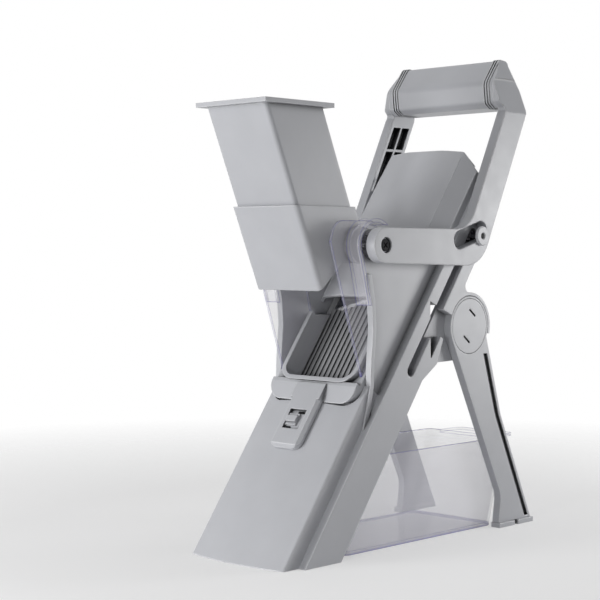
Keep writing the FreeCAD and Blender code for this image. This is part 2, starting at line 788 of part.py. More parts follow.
def slant(across, along):
    """Point of the slanted blade, from its middle."""
    return (f"({across})", f"blade_along + ({across}) * tan(blade_slant) + ({along})")


def slanted_strip(half, low, high):
    """Strip that runs across the ramp at the blade's slant."""
    return [slant(f"-({half})", low), slant(half, low), slant(half, high), slant(f"-({half})", high)]


def cartridge_deck():
    """Ribbed deck with a slanted slice gap and a seat for the blade."""
    body = new_body("cartridge_deck", "ramp")
    pad(body, "XY_Plane", "-deck_plate_wall", "0", draw_outline,
        rectangle("-deck_plate_half", "deck_plate_half", "sled_start", "deck_plate_end"))
    first_rib = "-rib_pitch * (rib_count - 1) / 2"
    rib = pad(body, "XY_Plane", "0", "rib_height", draw_outline,
              rectangle(f"{first_rib} - rib_width / 2", f"{first_rib} + rib_width / 2",
                        "sled_start + bite", "deck_plate_end - bite"))
    pattern = body.newObject("PartDesign::LinearPattern", "ribs")
    pattern.Originals = [rib]
    axis = [item for item in body.Origin.OriginFeatures if item.Role == "X_Axis"][0]
    pattern.Direction = (axis, [""])
    pattern.setExpression("Length", bind("rib_pitch * (rib_count - 1)"))
    pattern.Occurrences = int(value("rib_count"))
    pattern.setExpression("Occurrences", bind("rib_count"))
    body.Tip = pattern
    doc.recompute()
    cut(body, "XY_Plane", "0", "rib_height", draw_outline,
        slanted_strip("deck_plate_half + bite", "-bite", "blade_width + bite"))
    cut(body, "XY_Plane", "-deck_plate_wall", "rib_height", draw_outline,
        slanted_strip("blade_gap_half", "-blade_gap / 2", "blade_gap / 2"))
    return body


def cartridge_blade():
    """Slanted steel blade with a ground edge that faces down the ramp."""
    body = new_body("cartridge_blade", "ramp")
    pad(body, "XY_Plane", "0", "blade_wall", draw_outline, slanted_strip("blade_half", "0", "blade_width"))
    return body


def guide_pin(name, side):
    """Round pin through the rail's slot, with a thin neck through the lever's slot."""
    body = new_body(f"guide_pin_{name}", "ramp")
    centre = ("pin_rest", "-slot_depth")
    pad(body, "YZ_Plane", *span(side, "sled_block_half - sled_block_width", "half_width + fit_gap"),
        draw_circle, centre, "slot_width / 2 - pin_gap")
    pad(body, "YZ_Plane", *span(side, "half_width + fit_gap", f"{ARM_OUT} + fit_gap"),
        draw_circle, centre, "neck_radius")
    return body


def pin_cap(name, side):
    """Round cap on the end of a guide pin, outside the lever."""
    body = new_body(f"pin_cap_{name}", "ramp")
    centre = ("pin_rest", "-slot_depth")
    face = f"{ARM_OUT} + fit_gap + pin_cap_height"
    pad(body, "YZ_Plane", *span(side, f"{ARM_OUT} + fit_gap", face), draw_circle, centre, "pin_cap_radius")
    cut(body, "YZ_Plane", *span(side, f"{face} - pin_cap_sink", face), draw_circle, centre, "pin_cap_bore")
    bevel_edges(body, "pin_cap_bevel", lies_at("X", f"{side} * ({face})"))
    return body


def pivot_bolt(name, side):
    """Bolt that carries the lever and the gate on one wing."""
    body = new_body(f"pivot_bolt_{name}", "pivot")
    centre = ("0", "0")
    head = f"{ARM_OUT} - screw_recess_depth + fit_gap"
    pad(body, "YZ_Plane", *span(side, "hopper_half + fit_gap", head), draw_circle, centre, "bolt_radius")
    pad(body, "YZ_Plane", *span(side, head, f"{head} + bolt_head"), draw_circle, centre, "bolt_head_radius")
    return body


def head_outline(grow="0"):
    """Corners of the hand grip's section, from its back foot over the top to its front foot."""
    return [
        (f"head_back_y + {grow}", "head_back_z", "head_round"),
        (f"head_crest_y + {grow}", f"head_crest_z + {grow}", "crest_round"),
        (f"head_top_y - {grow}", f"head_top_z + {grow}", "crest_round"),
        (f"head_nose_y - {grow}", "head_nose_z", "head_round"),
        (f"head_lip_y - {grow}", f"head_lip_z - {grow}", "lip_round"),
    ]


def arm_outline():
    """Side view of a lever arm: round eye, elbow, upright and the end of the hand grip."""
    eye = "arm_half * 0.98"
    return [
        ("-arm_half", "-arm_half", eye), ("elbow_low_y", "-arm_drop", "elbow_round"),
        ("head_rear_y", "head_rear_z", "head_round"), *head_outline(),
        ("head_neck_y", "head_neck_z", "lip_round"), ("elbow_in_y", "elbow_in_z", "elbow_in_round"),
        ("-arm_half", "arm_half", eye),
    ]


def upright_strip(low, high):
    """Part of the arm's upright between two heights, inside its edges."""
    fore_slope = "((head_neck_y - elbow_in_y) / (head_neck_z - elbow_in_z))"
    rear_slope = "((head_rear_y - elbow_low_y) / (head_rear_z + arm_drop))"

    def fore(height):
        return (f"elbow_in_y + ({height} - elbow_in_z) * {fore_slope} + channel_edge * arm_skew", height)

    def rear(height):
        return (f"elbow_low_y + ({height} + arm_drop) * {rear_slope} - channel_edge * arm_skew", height)
    return [fore(low), rear(low), rear(high), fore(high)]


def cut_shoulder(body, side):
    """Slanting cut over the outer top corner of the handle."""
    low = f"{side} * {ARM_OUT}"
    far = f"{side} * ({ARM_OUT} + bite)"
    top = "head_top_z + 2 * bite"
    shoulder = [
        (low, "shoulder_z"), (far, "shoulder_z"), (far, top), (f"{side} * shoulder_top_half", top),
    ]
    cut(body, "XZ_Plane", "head_nose_y - head_round", "head_rear_y + head_round", draw_outline,
        shoulder if side > 0 else shoulder[::-1])


def handle_arm(name, side):
    """Moulded lever arm: pivot eye, slotted elbow and channelled upright."""
    body = new_body(f"handle_arm_{name}", "pivot")
    thick = span(side, ARM_IN, ARM_OUT)
    pad(body, "YZ_Plane", *thick, draw_outline, arm_outline())
    course = ("cos(slot_tilt)", "sin(slot_tilt)")
    rear = (f"{PIN_Y} - arm_slot_offset * {course[1]} + {course[0]}",
            f"{PIN_Z} + arm_slot_offset * {course[0]} + {course[1]}")
    run = "(arm_slot_travel + 2 * bite)"
    fore = (f"{rear[0]} - {run} * {course[0]}", f"{rear[1]} - {run} * {course[1]}")
    cut(body, "YZ_Plane", *thick, draw_slot, fore, rear, "arm_slot_width / 2")
    cut(body, "YZ_Plane", *thick, draw_circle, ("0", "0"), "bolt_radius + fit_gap / 2")
    cut(body, "YZ_Plane", *span(side, f"{ARM_OUT} - screw_recess_depth", ARM_OUT),
        draw_circle, ("0", "0"), "screw_recess_radius")
    cut_shoulder(body, side)
    channel = span(side, ARM_IN, f"{ARM_IN} + channel_depth")
    cut(body, "YZ_Plane", *channel, draw_outline, upright_strip("channel_low", "channel_high"))
    rib_half = "channel_rib / 2"
    pad(body, "YZ_Plane", *channel, draw_outline,
        upright_strip(f"channel_cross - {rib_half}", f"channel_cross + {rib_half}"))
    fore_low, rear_low, rear_high, fore_high = upright_strip("channel_low", "channel_high")
    low = f"({fore_low[0]} + {rear_low[0]}) / 2"
    high = f"({fore_high[0]} + {rear_high[0]}) / 2"
    rib = [
        (f"{low} - {rib_half}", "channel_low"), (f"{low} + {rib_half}", "channel_low"),
        (f"{high} + {rib_half}", "channel_high"), (f"{high} - {rib_half}", "channel_high"),
    ]
    pad(body, "YZ_Plane", *channel, draw_outline, rib)
    return body


def handle_grip():
    """Hand grip between the arms."""
    body = new_body("handle_grip", "pivot")
    def section(grow):
        return [("head_rear_y - bite", "head_rear_z + 2 * bite"), *head_outline(grow),
                ("head_neck_y", f"head_neck_z + bite / 2 - {grow}")]
    pad(body, "YZ_Plane", f"-{ARM_IN}", ARM_IN, draw_outline, section("0"))
    for side in (1, -1):
        for index in range(int(value("ridge_count"))):
            near = f"ridge_first + ridge_pitch * {index}"
            pad(body, "YZ_Plane", *span(side, near, f"{near} + ridge_width"),
                draw_outline, section("ridge_height"))
    for side in (1, -1):
        cut_shoulder(body, side)
    return body


def gate_frame():
    """Frame round the food opening: undercut base, raised lip and a tongue over the front cover."""
    body = new_body("gate_frame", "ramp")
    plan = [
        ("-gate_half", "gate_low", "gate_corner"), ("gate_half", "gate_low", "gate_corner"),
        ("gate_half", "gate_high"), ("-gate_half", "gate_high"),
    ]
    base = pad(body, "XY_Plane", "gate_edge", "2 * gate_edge - gate_under", draw_outline, plan)
    base.UseCustomVector = True
    base.AlongSketchNormal = True
    base.Direction = FreeCAD.Vector(0, value("gate_undercut"), -1)
    base.setExpression("Direction.y", bind("gate_undercut"))
    doc.recompute()
    lip_end = "cover_top - lip_width + bite"
    slope = [
        ("gate_low", "gate_edge"), (lip_end, "gate_edge"), (lip_end, "gate_lip - bite"),
        (f"{lip_end} - lip_width", "gate_lip - bite"),
    ]
    pad(body, "YZ_Plane", "-gate_half", "gate_half", draw_outline, slope)
    band = [
        ("-(mouth_half + lip_width)", "cover_top - lip_width", "mouth_corner + lip_width"),
        ("mouth_half + lip_width", "cover_top - lip_width", "mouth_corner + lip_width"),
        ("mouth_half + lip_width", "gate_high"), ("-(mouth_half + lip_width)", "gate_high"),
    ]
    pad(body, "XY_Plane", "gate_edge", "gate_lip", draw_outline, band)
    for side in (1, -1):
        past = "gate_low + gate_corner + bite"
        corner = [
            (f"{side} * (gate_half + bite)", "gate_low - bite"), (f"{side} * (gate_half + bite)", past),
            (f"{side} * gate_half", past), (f"{side} * gate_half", "gate_low", "gate_corner"),
            (f"{side} * (gate_half - gate_corner - bite)", "gate_low"),
            (f"{side} * (gate_half - gate_corner - bite)", "gate_low - bite"),
        ]
        cut(body, "XY_Plane", "gate_edge", "gate_lip + bite", draw_outline,
            corner if side > 0 else corner[::-1])
    mouth = [
        ("-mouth_half", "cover_top", "mouth_corner"), ("mouth_half", "cover_top", "mouth_corner"),
        ("mouth_half", "gate_high + mouth_corner"), ("-mouth_half", "gate_high + mouth_corner"),
    ]
    cut(body, "XY_Plane", "gate_under", "gate_lip + bite", draw_outline, mouth)
    tongue = [
        ("-tongue_half", "tongue_low", "tongue_corner"), ("tongue_half", "tongue_low", "tongue_corner"),
        ("tongue_half", "tongue_high"), ("-tongue_half", "tongue_high"),
    ]
    tongue_top = "tongue_under + tongue_height"
    pad(body, "XY_Plane", "tongue_under", tongue_top, draw_outline, tongue)
    for side in (1, -1):
        flank = [
            (f"{side} * (tongue_half - tongue_bevel)", tongue_top),
            (f"{side} * (tongue_half + bite)", tongue_top),
            (f"{side} * (tongue_half + bite)", f"{tongue_top} - tongue_bevel"),
            (f"{side} * tongue_half", f"{tongue_top} - tongue_bevel"),
        ]
        cut(body, "XZ_Plane", "tongue_low - bite", "gate_low - fit_gap", draw_outline,
            flank if side > 0 else flank[::-1])
    end = [
        ("tongue_low - bite", tongue_top), ("tongue_low - bite", f"{tongue_top} - tongue_bevel"),
        ("tongue_low", f"{tongue_top} - tongue_bevel"), ("tongue_low + tongue_bevel", tongue_top),
    ]
    cut(body, "YZ_Plane", "-tongue_half - bite", "tongue_half + bite", draw_outline, end)
    cut(body, "XY_Plane", f"{tongue_top} - lock_depth", tongue_top, draw_outline,
        rectangle("-lock_half", "lock_half", "lock_low", "lock_low + lock_length"))
    return body


def lock_slider():
    """Small knob on a plate that slides across the lock's recess."""
    body = new_body("lock_slider", "ramp")
    floor = "tongue_under + tongue_height - lock_depth + fit_gap / 2"
    middle = "lock_low + lock_length / 2"
    left = "-lock_half + fit_gap"
    pad(body, "XY_Plane", floor, f"{floor} + knob_stem", draw_outline,
        rectangle(left, f"{left} + knob_length", f"{middle} - knob_width", f"{middle} + knob_width"))
    pad(body, "XY_Plane", floor, f"{floor} + knob_height", draw_outline,
        rectangle(left, f"{left} + knob_length",
                  f"{middle} - knob_width / 2", f"{middle} + knob_width / 2"))
    return body


def side_guard(name, side):
    """Clear side wall of the food space, with an arched hinge lug over the wing's nose."""
    body = new_body(f"side_guard_{name}", "table")
    wall = span(side, "guard_inner", "guard_inner + guard_wall")
    foot_out = "gate_edge"

    def ramp_point(along):
        return (f"({along}) * cos(ramp_angle) - {foot_out} * sin(ramp_angle)",
                f"({along}) * sin(ramp_angle) + {foot_out} * cos(ramp_angle)")
    top = f"{PIVOT_Z} + guard_top"
    outline = [
        ramp_point("cover_top + guard_set"), ramp_point("gate_high"),
        (f"{PIVOT_Y} + guard_rear", f"{PIVOT_Z} - guard_waist"),
        (f"{PIVOT_Y} + guard_rear", top, "guard_corner"),
        ("guard_front_y + guard_set", top, "guard_corner - guard_wall"),
        ("guard_front_y", "guard_front_z"),
    ]
    pad(body, "YZ_Plane", *wall, draw_outline, outline)
    layer = span(side, "guard_inner + guard_wall", "lug_outer")
    pad(body, "YZ_Plane", *layer, draw_circle, (PIVOT_Y, PIVOT_Z), "lug_radius")
    tail = [
        (f"{PIVOT_Y} - lug_radius", PIVOT_Z),
        (f"{PIVOT_Y} - lug_tail_y", f"{PIVOT_Z} - lug_tail_z"),
        (f"{PIVOT_Y} - lug_tail_y + lug_wall", f"{PIVOT_Z} - lug_tail_z"),
        (f"{PIVOT_Y} - lug_radius + lug_wall", PIVOT_Z),
    ]
    pad(body, "YZ_Plane", *layer, draw_outline, tail)
    inside = "lug_radius - lug_wall"
    cut(body, "YZ_Plane", *layer, draw_circle, (PIVOT_Y, PIVOT_Z), inside)
    open_side = [
        (f"{PIVOT_Y} - lug_radius + lug_wall", PIVOT_Z), (f"{PIVOT_Y} - lug_tail_y + lug_wall",
                                                          f"{PIVOT_Z} - lug_tail_z"),
        (f"{PIVOT_Y} + lug_radius + 2 * bite", f"{PIVOT_Z} - lug_tail_z"),
        (f"{PIVOT_Y} + lug_radius + 2 * bite", f"{PIVOT_Z} + lug_radius * lug_open"),
        (f"{PIVOT_Y} + 2 * bite", f"{PIVOT_Z} + lug_radius * lug_open"),
    ]
    cut(body, "YZ_Plane", *layer, draw_outline, open_side)
    cut(body, "YZ_Plane", *wall, draw_circle, (PIVOT_Y, PIVOT_Z), "bolt_radius + fit_gap / 2")
    return body


def leaning(front, height, reference):
    """Y of a line that leans forward with the hopper, at one height."""
    return f"({front}) + tan(lean_angle) * (({reference}) - ({height}))"


def leans_along(half):
    """Test for the straight edges at one half width that lean forward with the chute."""
    half_now = value(half)
    lean = math.tan(math.radians(value("lean_angle")))

    def test(edge):
        box = edge.BoundBox
        at_side = abs(abs(box.XMin) - half_now) < 1e-4 and box.XLength < 1e-4
        return at_side and box.ZLength > 5 and abs(box.YLength / box.ZLength - lean) < 1e-3
    return test


def hopper():
    """Leaning chute with an open top and bottom and a hinge boss on each side."""
    body = new_body("hopper", "table")
    rear = "hopper_front_y + hopper_length"
    outline = [
        ("hopper_front_y", "hopper_top"),
        (leaning("hopper_front_y", "hopper_lip", "hopper_top"), "hopper_lip"),
        ("hopper_notch_y", "hopper_rear"),
        (leaning(rear, "hopper_rear", "hopper_top"), "hopper_rear"),
        (rear, "hopper_top"),
    ]
    pad(body, "YZ_Plane", "-hopper_half", "hopper_half", draw_outline, outline)
    round_edges(body, "hopper_round", leans_along("hopper_half"))
    for side in (1, -1):
        pad(body, "YZ_Plane", *span(side, "hopper_half", "guard_inner"), draw_circle,
            (PIVOT_Y, PIVOT_Z), "hinge_boss_radius")
    fore = "hopper_front_y + hopper_wall"
    aft = f"{rear} - hopper_wall"
    bore = [
        (leaning(fore, "hopper_top + 2 * bite", "hopper_top"), "hopper_top + 2 * bite"),
        (leaning(fore, "hopper_lip - hopper_overrun", "hopper_top"), "hopper_lip - hopper_overrun"),
        (leaning(aft, "hopper_lip - hopper_overrun", "hopper_top"), "hopper_lip - hopper_overrun"),
        (leaning(aft, "hopper_top + 2 * bite", "hopper_top"), "hopper_top + 2 * bite"),
    ]
    inside = "hopper_half - hopper_wall"
    cut(body, "YZ_Plane", f"-({inside})", inside, draw_outline, bore)
    for side in (1, -1):
        cut(body, "YZ_Plane", *span(side, "hopper_half", "guard_inner"), draw_circle,
            (PIVOT_Y, PIVOT_Z), "bolt_radius + fit_gap / 2")
    return body


def pusher():
    """Hollow pusher with a flange at the top and a floor that is parallel to the ramp."""
    body = new_body("pusher", "table")
    gap = "(hopper_wall + pusher_gap)"
    fore = f"hopper_front_y + {gap}"
    aft = f"hopper_front_y + hopper_length - {gap}"
    half = f"(hopper_half - {gap})"

    def foot(line, out):
        steep = "(cos(ramp_angle) + sin(ramp_angle) * tan(lean_angle))"
        height = f"(({out} + sin(ramp_angle) * (({line}) + tan(lean_angle) * hopper_top)) / {steep})"
        return (leaning(line, height, "hopper_top"), height)
    outline = [
        (leaning(fore, "pusher_top", "hopper_top"), "pusher_top"),
        foot(fore, "pusher_out"), foot(aft, "pusher_out"),
        (leaning(aft, "pusher_top", "hopper_top"), "pusher_top"),
    ]
    pad(body, "YZ_Plane", f"-{half}", half, draw_outline, outline)
    round_edges(body, "pusher_round", leans_along(half))
    brim = [
        (f"{leaning(fore, 'pusher_top', 'hopper_top')} - flange_width", "pusher_top"),
        (f"{leaning(aft, 'pusher_top', 'hopper_top')} + flange_width", "pusher_top"),
        (f"{leaning(aft, 'pusher_top', 'hopper_top')} + flange_width", "pusher_top + flange_height"),
        (f"{leaning(fore, 'pusher_top', 'hopper_top')} - flange_width", "pusher_top + flange_height"),
    ]
    pad(body, "YZ_Plane", f"-({half} + flange_width)", f"{half} + flange_width", draw_outline, brim)
    inner_fore = f"{fore} + pusher_wall"
    inner_aft = f"{aft} - pusher_wall"
    past_top = "pusher_top + hopper_overrun / 2"
    cup = [
        (leaning(inner_fore, past_top, "hopper_top"), past_top),
        foot(inner_fore, "pusher_out + pusher_floor"), foot(inner_aft, "pusher_out + pusher_floor"),
        (leaning(inner_aft, past_top, "hopper_top"), past_top),
    ]
    cut(body, "YZ_Plane", f"-({half} - pusher_wall)", f"{half} - pusher_wall", draw_outline, cup)
    return body


LEG_IN = f"({PLATE_OUT} + fit_gap)"
LEG_BOTTOM = f"({HUB_Z} - sole_height)"


def leg(name, side):
    """Rear leg with a round head that lies in the rail's layer."""
    body = new_body(f"leg_{name}", "hub")
    thick = span(side, LEG_IN, "half_width")
    reach = "hub_radius * cos(leg_neck_angle)"
    rise = "hub_radius * sin(leg_neck_angle)"
    outline = [
        (f"-({reach})", f"-({rise})"),
        ("leg_front_knee_y", "-leg_front_knee_z", "leg_toe_round"),
        ("leg_toe_y", f"-{LEG_BOTTOM}"), ("leg_heel_y", f"-{LEG_BOTTOM}"),
        ("leg_rear_knee_y", "-leg_rear_knee_z", "leg_round"),
        (reach, f"-({rise})"),
    ]
    pad(body, "YZ_Plane", *thick, draw_outline, outline)
    pad(body, "YZ_Plane", *thick, draw_circle, ("0", "0"), "hub_radius")
    cut(body, "YZ_Plane", *span(side, "half_width - cap_height", "half_width"), draw_circle, ("0", "0"),
        "cap_radius + fit_gap")
    cut(body, "YZ_Plane", *span(side, LEG_IN, f"{LEG_IN} + axle_depth"), draw_circle, ("0", "0"),
        "axle_radius")
    edge = "leg_groove_edge"
    far = f"({edge} + leg_groove)"
    foot = f"({LEG_BOTTOM} - 2 * bite)"
    heel = f"leg_heel_y - 2 * bite * (leg_heel_y - leg_rear_knee_y) / ({LEG_BOTTOM} - leg_rear_knee_z)"
    start = "-hub_radius + bite"
    groove = [
        (f"hub_radius - {far} + 2 * bite", start),
        (f"leg_rear_knee_y - {far}", "-leg_rear_knee_z", "leg_round"),
        (f"{heel} - {far}", f"-{foot}"), (f"{heel} - {edge}", f"-{foot}"),
        (f"leg_rear_knee_y - {edge}", "-leg_rear_knee_z", "leg_round"),
        (f"hub_radius - {edge} + 2 * bite", start),
    ]
    outer_skin = span(side, "half_width - leg_groove_depth", "half_width")
    cut(body, "YZ_Plane", *outer_skin, draw_outline, groove)
    return body


def leg_sole(name, side):
    """Rubber sole under a leg."""
    body = new_body(f"leg_sole_{name}", "hub")
    outline = [
        ("leg_toe_y - sole_step", f"-{LEG_BOTTOM}"), ("leg_toe_y - sole_step", f"-{HUB_Z}"),
        ("leg_heel_y + sole_step", f"-{HUB_Z}"), ("leg_heel_y + sole_step", f"-{LEG_BOTTOM}"),
    ]
    pad(body, "YZ_Plane", *span(side, LEG_IN, "half_width + sole_lip"), draw_outline, outline)
    middle = "(leg_toe_y + leg_heel_y) / 2"
    cut(body, "YZ_Plane", *span(side, "half_width - bite", "half_width + sole_lip"), draw_outline,
        rectangle(f"{middle} - sole_notch / 2", f"{middle} + sole_notch / 2",
                  f"-{HUB_Z}", f"-{LEG_BOTTOM}"))
    return body


def leg_axle():
    """Tube that joins both legs through the lobes."""
    body = new_body("leg_axle", "hub")
    end = f"({LEG_IN} + axle_depth)"
    pad(body, "YZ_Plane", f"-{end}", end, draw_circle, ("0", "0"), "axle_radius")
    cut(body, "YZ_Plane", f"-{end}", end, draw_circle, ("0", "0"), "axle_radius - axle_wall")
    return body


def hub_cap(name, side):
    """Flush cap with two wrench slots."""
    body = new_body(f"hub_cap_{name}", "hub")
    pad(body, "YZ_Plane", *span(side, "half_width - cap_height", "half_width"), draw_circle, ("0", "0"),
        "cap_radius")
    for sign in (1, -1):
        middle = ("wrench_slot_place * 0.35", "wrench_slot_place")
        ends = [(f"{sign} * ({middle[0]} - wrench_slot_length / 2 * cos(wrench_tilt))",
                 f"{sign} * ({middle[1]} + wrench_slot_length / 2 * sin(wrench_tilt))"),
                (f"{sign} * ({middle[0]} + wrench_slot_length / 2 * cos(wrench_tilt))",
                 f"{sign} * ({middle[1]} - wrench_slot_length / 2 * sin(wrench_tilt))")]
        cut(body, "YZ_Plane", *span(side, "half_width - wrench_slot_depth", "half_width"),
            draw_slot, *ends, "wrench_slot_width / 2")
    return body


def catch_tray():
    """Open clear tray between the legs, with a pull lip at the back."""
    body = new_body("catch_tray", "table")
    outline = [
        ("tray_front - tray_flare", "0"), ("tray_back", "0"),
        ("tray_back + tray_flare", "tray_height"), ("tray_front", "tray_height"),
    ]
    pad(body, "YZ_Plane", "-tray_half", "tray_half", draw_outline, outline)
    half_now = value("tray_half")
    round_edges(body, "tray_round", lambda edge: edge.BoundBox.XLength < 1e-4
                and abs(abs(edge.BoundBox.XMin) - half_now) < 1e-4 and edge.BoundBox.ZLength > 5)
    base = body.Tip
    top_now = value("tray_height")
    top = [f"Face{index}" for index, face in enumerate(base.Shape.Faces, 1)
           if face.BoundBox.ZLength < 1e-4 and abs(face.BoundBox.ZMin - top_now) < 1e-4]
    shell = body.newObject("PartDesign::Thickness", "walls")
    shell.Base = (base, top)
    shell.Reversed = True
    shell.setExpression("Value", bind("tray_wall"))
    doc.recompute()
    lip = [
        ("-tray_lip_half", "tray_back + tray_flare - tray_wall / 2"),
        ("tray_lip_half", "tray_back + tray_flare - tray_wall / 2"),
        ("tray_lip_half", "tray_back + tray_flare + tray_lip", "tray_round"),
        ("-tray_lip_half", "tray_back + tray_flare + tray_lip", "tray_round"),
    ]
    pad(body, "XY_Plane", "tray_height - tray_lip_wall", "tray_height", draw_outline, lip)
    return body


def biarc_edges(start, start_way, end, end_way):
    """Two arcs that leave start and reach end along the given directions."""
    run = end - start
    ways = start_way + end_way
    quad = 2 * (start_way.dot(end_way) - 1)
    linear = -2 * run.dot(ways)
    square = run.dot(run)
    reach = (-linear - math.sqrt(linear * linear - 4 * quad * square)) / (2 * quad)
    first = start + start_way * reach
    last = end - end_way * reach
    joint = (first + last) * 0.5
    edges = []
    for begin, corner, finish in ((start, first, joint), (joint, last, end)):
        chord = (begin + finish) * 0.5
        weight = (finish - begin).Length / 2 / reach
        middle = chord + (corner - chord) * (weight / (1 + weight))
        edges.append(Part.Arc(begin, middle, finish).toShape())
    return edges


def return_spring(name, side):
    """Torsion spring round the pivot boss, with a straight tang at each end."""
    radius = value("boss_radius + spring_gap + wire_radius")
    pitch = value("spring_pitch")
    wire = value("wire_radius")
    start_x = value(f"{PLATE_OUT} + fit_gap + wire_radius")
    start_turn = math.radians(200)

    def at(turns):
        turn = start_turn - turns * 2 * math.pi
        spot = FreeCAD.Vector(start_x + turns * pitch, radius * math.cos(turn), radius * math.sin(turn))
        way = FreeCAD.Vector(pitch / (2 * math.pi), radius * math.sin(turn), -radius * math.cos(turn))
        return spot, way.normalize()
    halves = int(round(value("spring_turns") * 2))
    edges = []
    spot, way = at(0)
    edges.append(Part.LineSegment(spot - way * value("spring_tang"), spot).toShape())
    for half in range(halves):
        edges += biarc_edges(*at(half / 2), *at((half + 1) / 2))
    spot, way = at(halves / 2)
    edges.append(Part.LineSegment(spot, spot + way * value("spring_tang")).toShape())
    path = Part.Wire(edges)
    samples = path.discretize(Distance=wire / 2)
    apart = int(math.pi * radius / (wire / 2))
    least = min((first - other).Length for index, first in enumerate(samples)
                for other in samples[index + apart:]) - 2 * wire
    print(f"return_spring_{name}: least gap between its turns {least:.2f} mm")
    begin = path.Edges[0].Vertexes[0].Point
    ring = Part.Wire([Part.Circle(begin, at(0)[1], wire).toShape()])
    sweep = Part.BRepOffsetAPI.MakePipeShell(path)
    sweep.add(ring, False, False)
    sweep.build()
    sweep.makeSolid()
    coil = sweep.shape()
    if side < 0:
        coil = coil.mirror(FreeCAD.Vector(), FreeCAD.Vector(1, 0, 0))
    piece = doc.addObject("Part::Feature", f"return_spring_{name}")
    piece.Label = f"return_spring_{name}"
    piece.Shape = coil
    place(piece, "pivot")
    nodes.append(piece)
    return piece


def build():
    """Every piece of the slicer, from the frame outwards."""
    for name, side in SIDES:
        side_frame(name, side)
        pivot_bolt(name, side)
        return_spring(name, side)
    front_cover()
    upper_cover()
    rear_brace()
    sled_frame()
    cartridge_deck()
    cartridge_blade()
    for name, side in SIDES:
        guide_pin(name, side)
        pin_cap(name, side)
        handle_arm(name, side)
    handle_grip()
    gate_frame()
    lock_slider()
    for name, side in SIDES:
        side_guard(name, side)
    hopper()
    pusher()
    for name, side in SIDES:
        leg(name, side)
        leg_sole(name, side)
        hub_cap(name, side)
    leg_axle()
    catch_tray()


def centre_origin():
    """Move the frame's origin to the middle of the finished pieces' outline on the table."""
    box = FreeCAD.BoundBox()
    for node in nodes:
        box.add(node.Shape.BoundBox)
    row_of_origin = list(SIZES).index("origin_y") + 1
    sheet.set(f"B{row_of_origin}", f"{-(box.YMin + box.YMax) / 2:.4f}")
    doc.recompute()


def check_and_write():
    """Stop on any failed object or broken solid, then write each node."""
    for item in doc.Objects:
        if "Invalid" in item.State or "Error" in item.State:
            raise RuntimeError(f"{item.Name} of {item.Label} failed: {item.State}")
    for node in nodes:
        if node.Shape.isNull() or not node.Shape.isValid() or len(node.Shape.Solids) != 1:
            raise RuntimeError(f"{node.Label} is not one valid solid: {len(node.Shape.Solids)}")
    os.makedirs("parts", exist_ok=True)
    for node in nodes:
        node.Shape.exportStep(f"parts/{node.Label}.step")
        box = node.Shape.BoundBox
        print(f"{node.Label:22s} volume {node.Shape.Volume / 1000:8.2f} cm3"
              f"  X {box.XMin:7.1f} {box.XMax:6.1f}"
              f"  Y {box.YMin:7.1f} {box.YMax:6.1f}  Z {box.ZMin:6.1f} {box.ZMax:6.1f}")


build()
centre_origin()
check_and_write()
for label, formula in (("origin", "origin_y"), ("pivot y", f"origin_y + {PIVOT_Y}"), ("pivot z", PIVOT_Z),
                       ("hub y", f"origin_y + {HUB_Y}"), ("hub z", HUB_Z)):
    print(f"{label}: {value(formula):.3f}")
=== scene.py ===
"""Looks of the upright slicer: finishes, small pieces, studio light and the camera."""
import json
import math

import bmesh
import bpy
from mathutils import Matrix, Vector


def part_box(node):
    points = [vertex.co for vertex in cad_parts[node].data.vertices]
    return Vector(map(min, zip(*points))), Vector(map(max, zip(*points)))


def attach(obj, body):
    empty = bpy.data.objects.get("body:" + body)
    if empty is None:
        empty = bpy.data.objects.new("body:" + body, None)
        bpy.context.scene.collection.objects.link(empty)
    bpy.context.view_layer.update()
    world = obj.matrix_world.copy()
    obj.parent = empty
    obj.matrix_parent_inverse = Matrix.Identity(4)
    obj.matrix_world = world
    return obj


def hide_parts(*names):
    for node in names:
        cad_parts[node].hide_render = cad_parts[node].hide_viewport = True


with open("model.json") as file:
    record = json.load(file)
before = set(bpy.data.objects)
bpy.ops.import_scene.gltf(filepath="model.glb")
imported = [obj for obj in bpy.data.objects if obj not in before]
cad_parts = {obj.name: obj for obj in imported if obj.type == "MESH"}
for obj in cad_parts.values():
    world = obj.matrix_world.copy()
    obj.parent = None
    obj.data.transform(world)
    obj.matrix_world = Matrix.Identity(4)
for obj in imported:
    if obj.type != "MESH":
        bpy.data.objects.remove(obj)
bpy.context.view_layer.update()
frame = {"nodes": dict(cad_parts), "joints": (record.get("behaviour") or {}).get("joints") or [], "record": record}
nodes = frame["nodes"]

MM = 0.001
SIDES = (("right", 1), ("left", -1))

# Camera that matches the photograph, for a frame of 600 by 600
CAMERA_PLACE = (0.7996, -0.908663, 0.2304)
CAMERA_TURN = math.radians(44)
CAMERA_DROP = math.radians(1.966)
CAMERA_LENS = 90.9
CAMERA_SENSOR = 36

# Lamps: place, size of the square panel in metres, power in watts
LAMPS = {
    "key": ((-0.42, -1.0, 0.2), 0.38, 6.4),
    "fill": ((0.6, 1.02, 0.24), 0.34, 5.6),
    "top": ((0.05, 0.1, 1.5), 0.8, 4.4),
    "edge": ((0.42, -1.3, 0.2), 0.18, 3.6),
}
LAMP_TARGET = (0, 0, 0.17)
WORLD_LEVEL = 0.17
WHITE = (1, 1, 1, 1)

# Floor: solid near the object, fading into the white surround
FLOOR_RADIUS = 1.6
FLOOR_SIDES = 96
FLOOR_SOLID = 0.3
FLOOR_FADE = 0.85
FLOOR_COLOUR = (0.93, 0.93, 0.935)
FLOOR_ROUGHNESS = 0.8
FLOOR_WHITE = 0.42

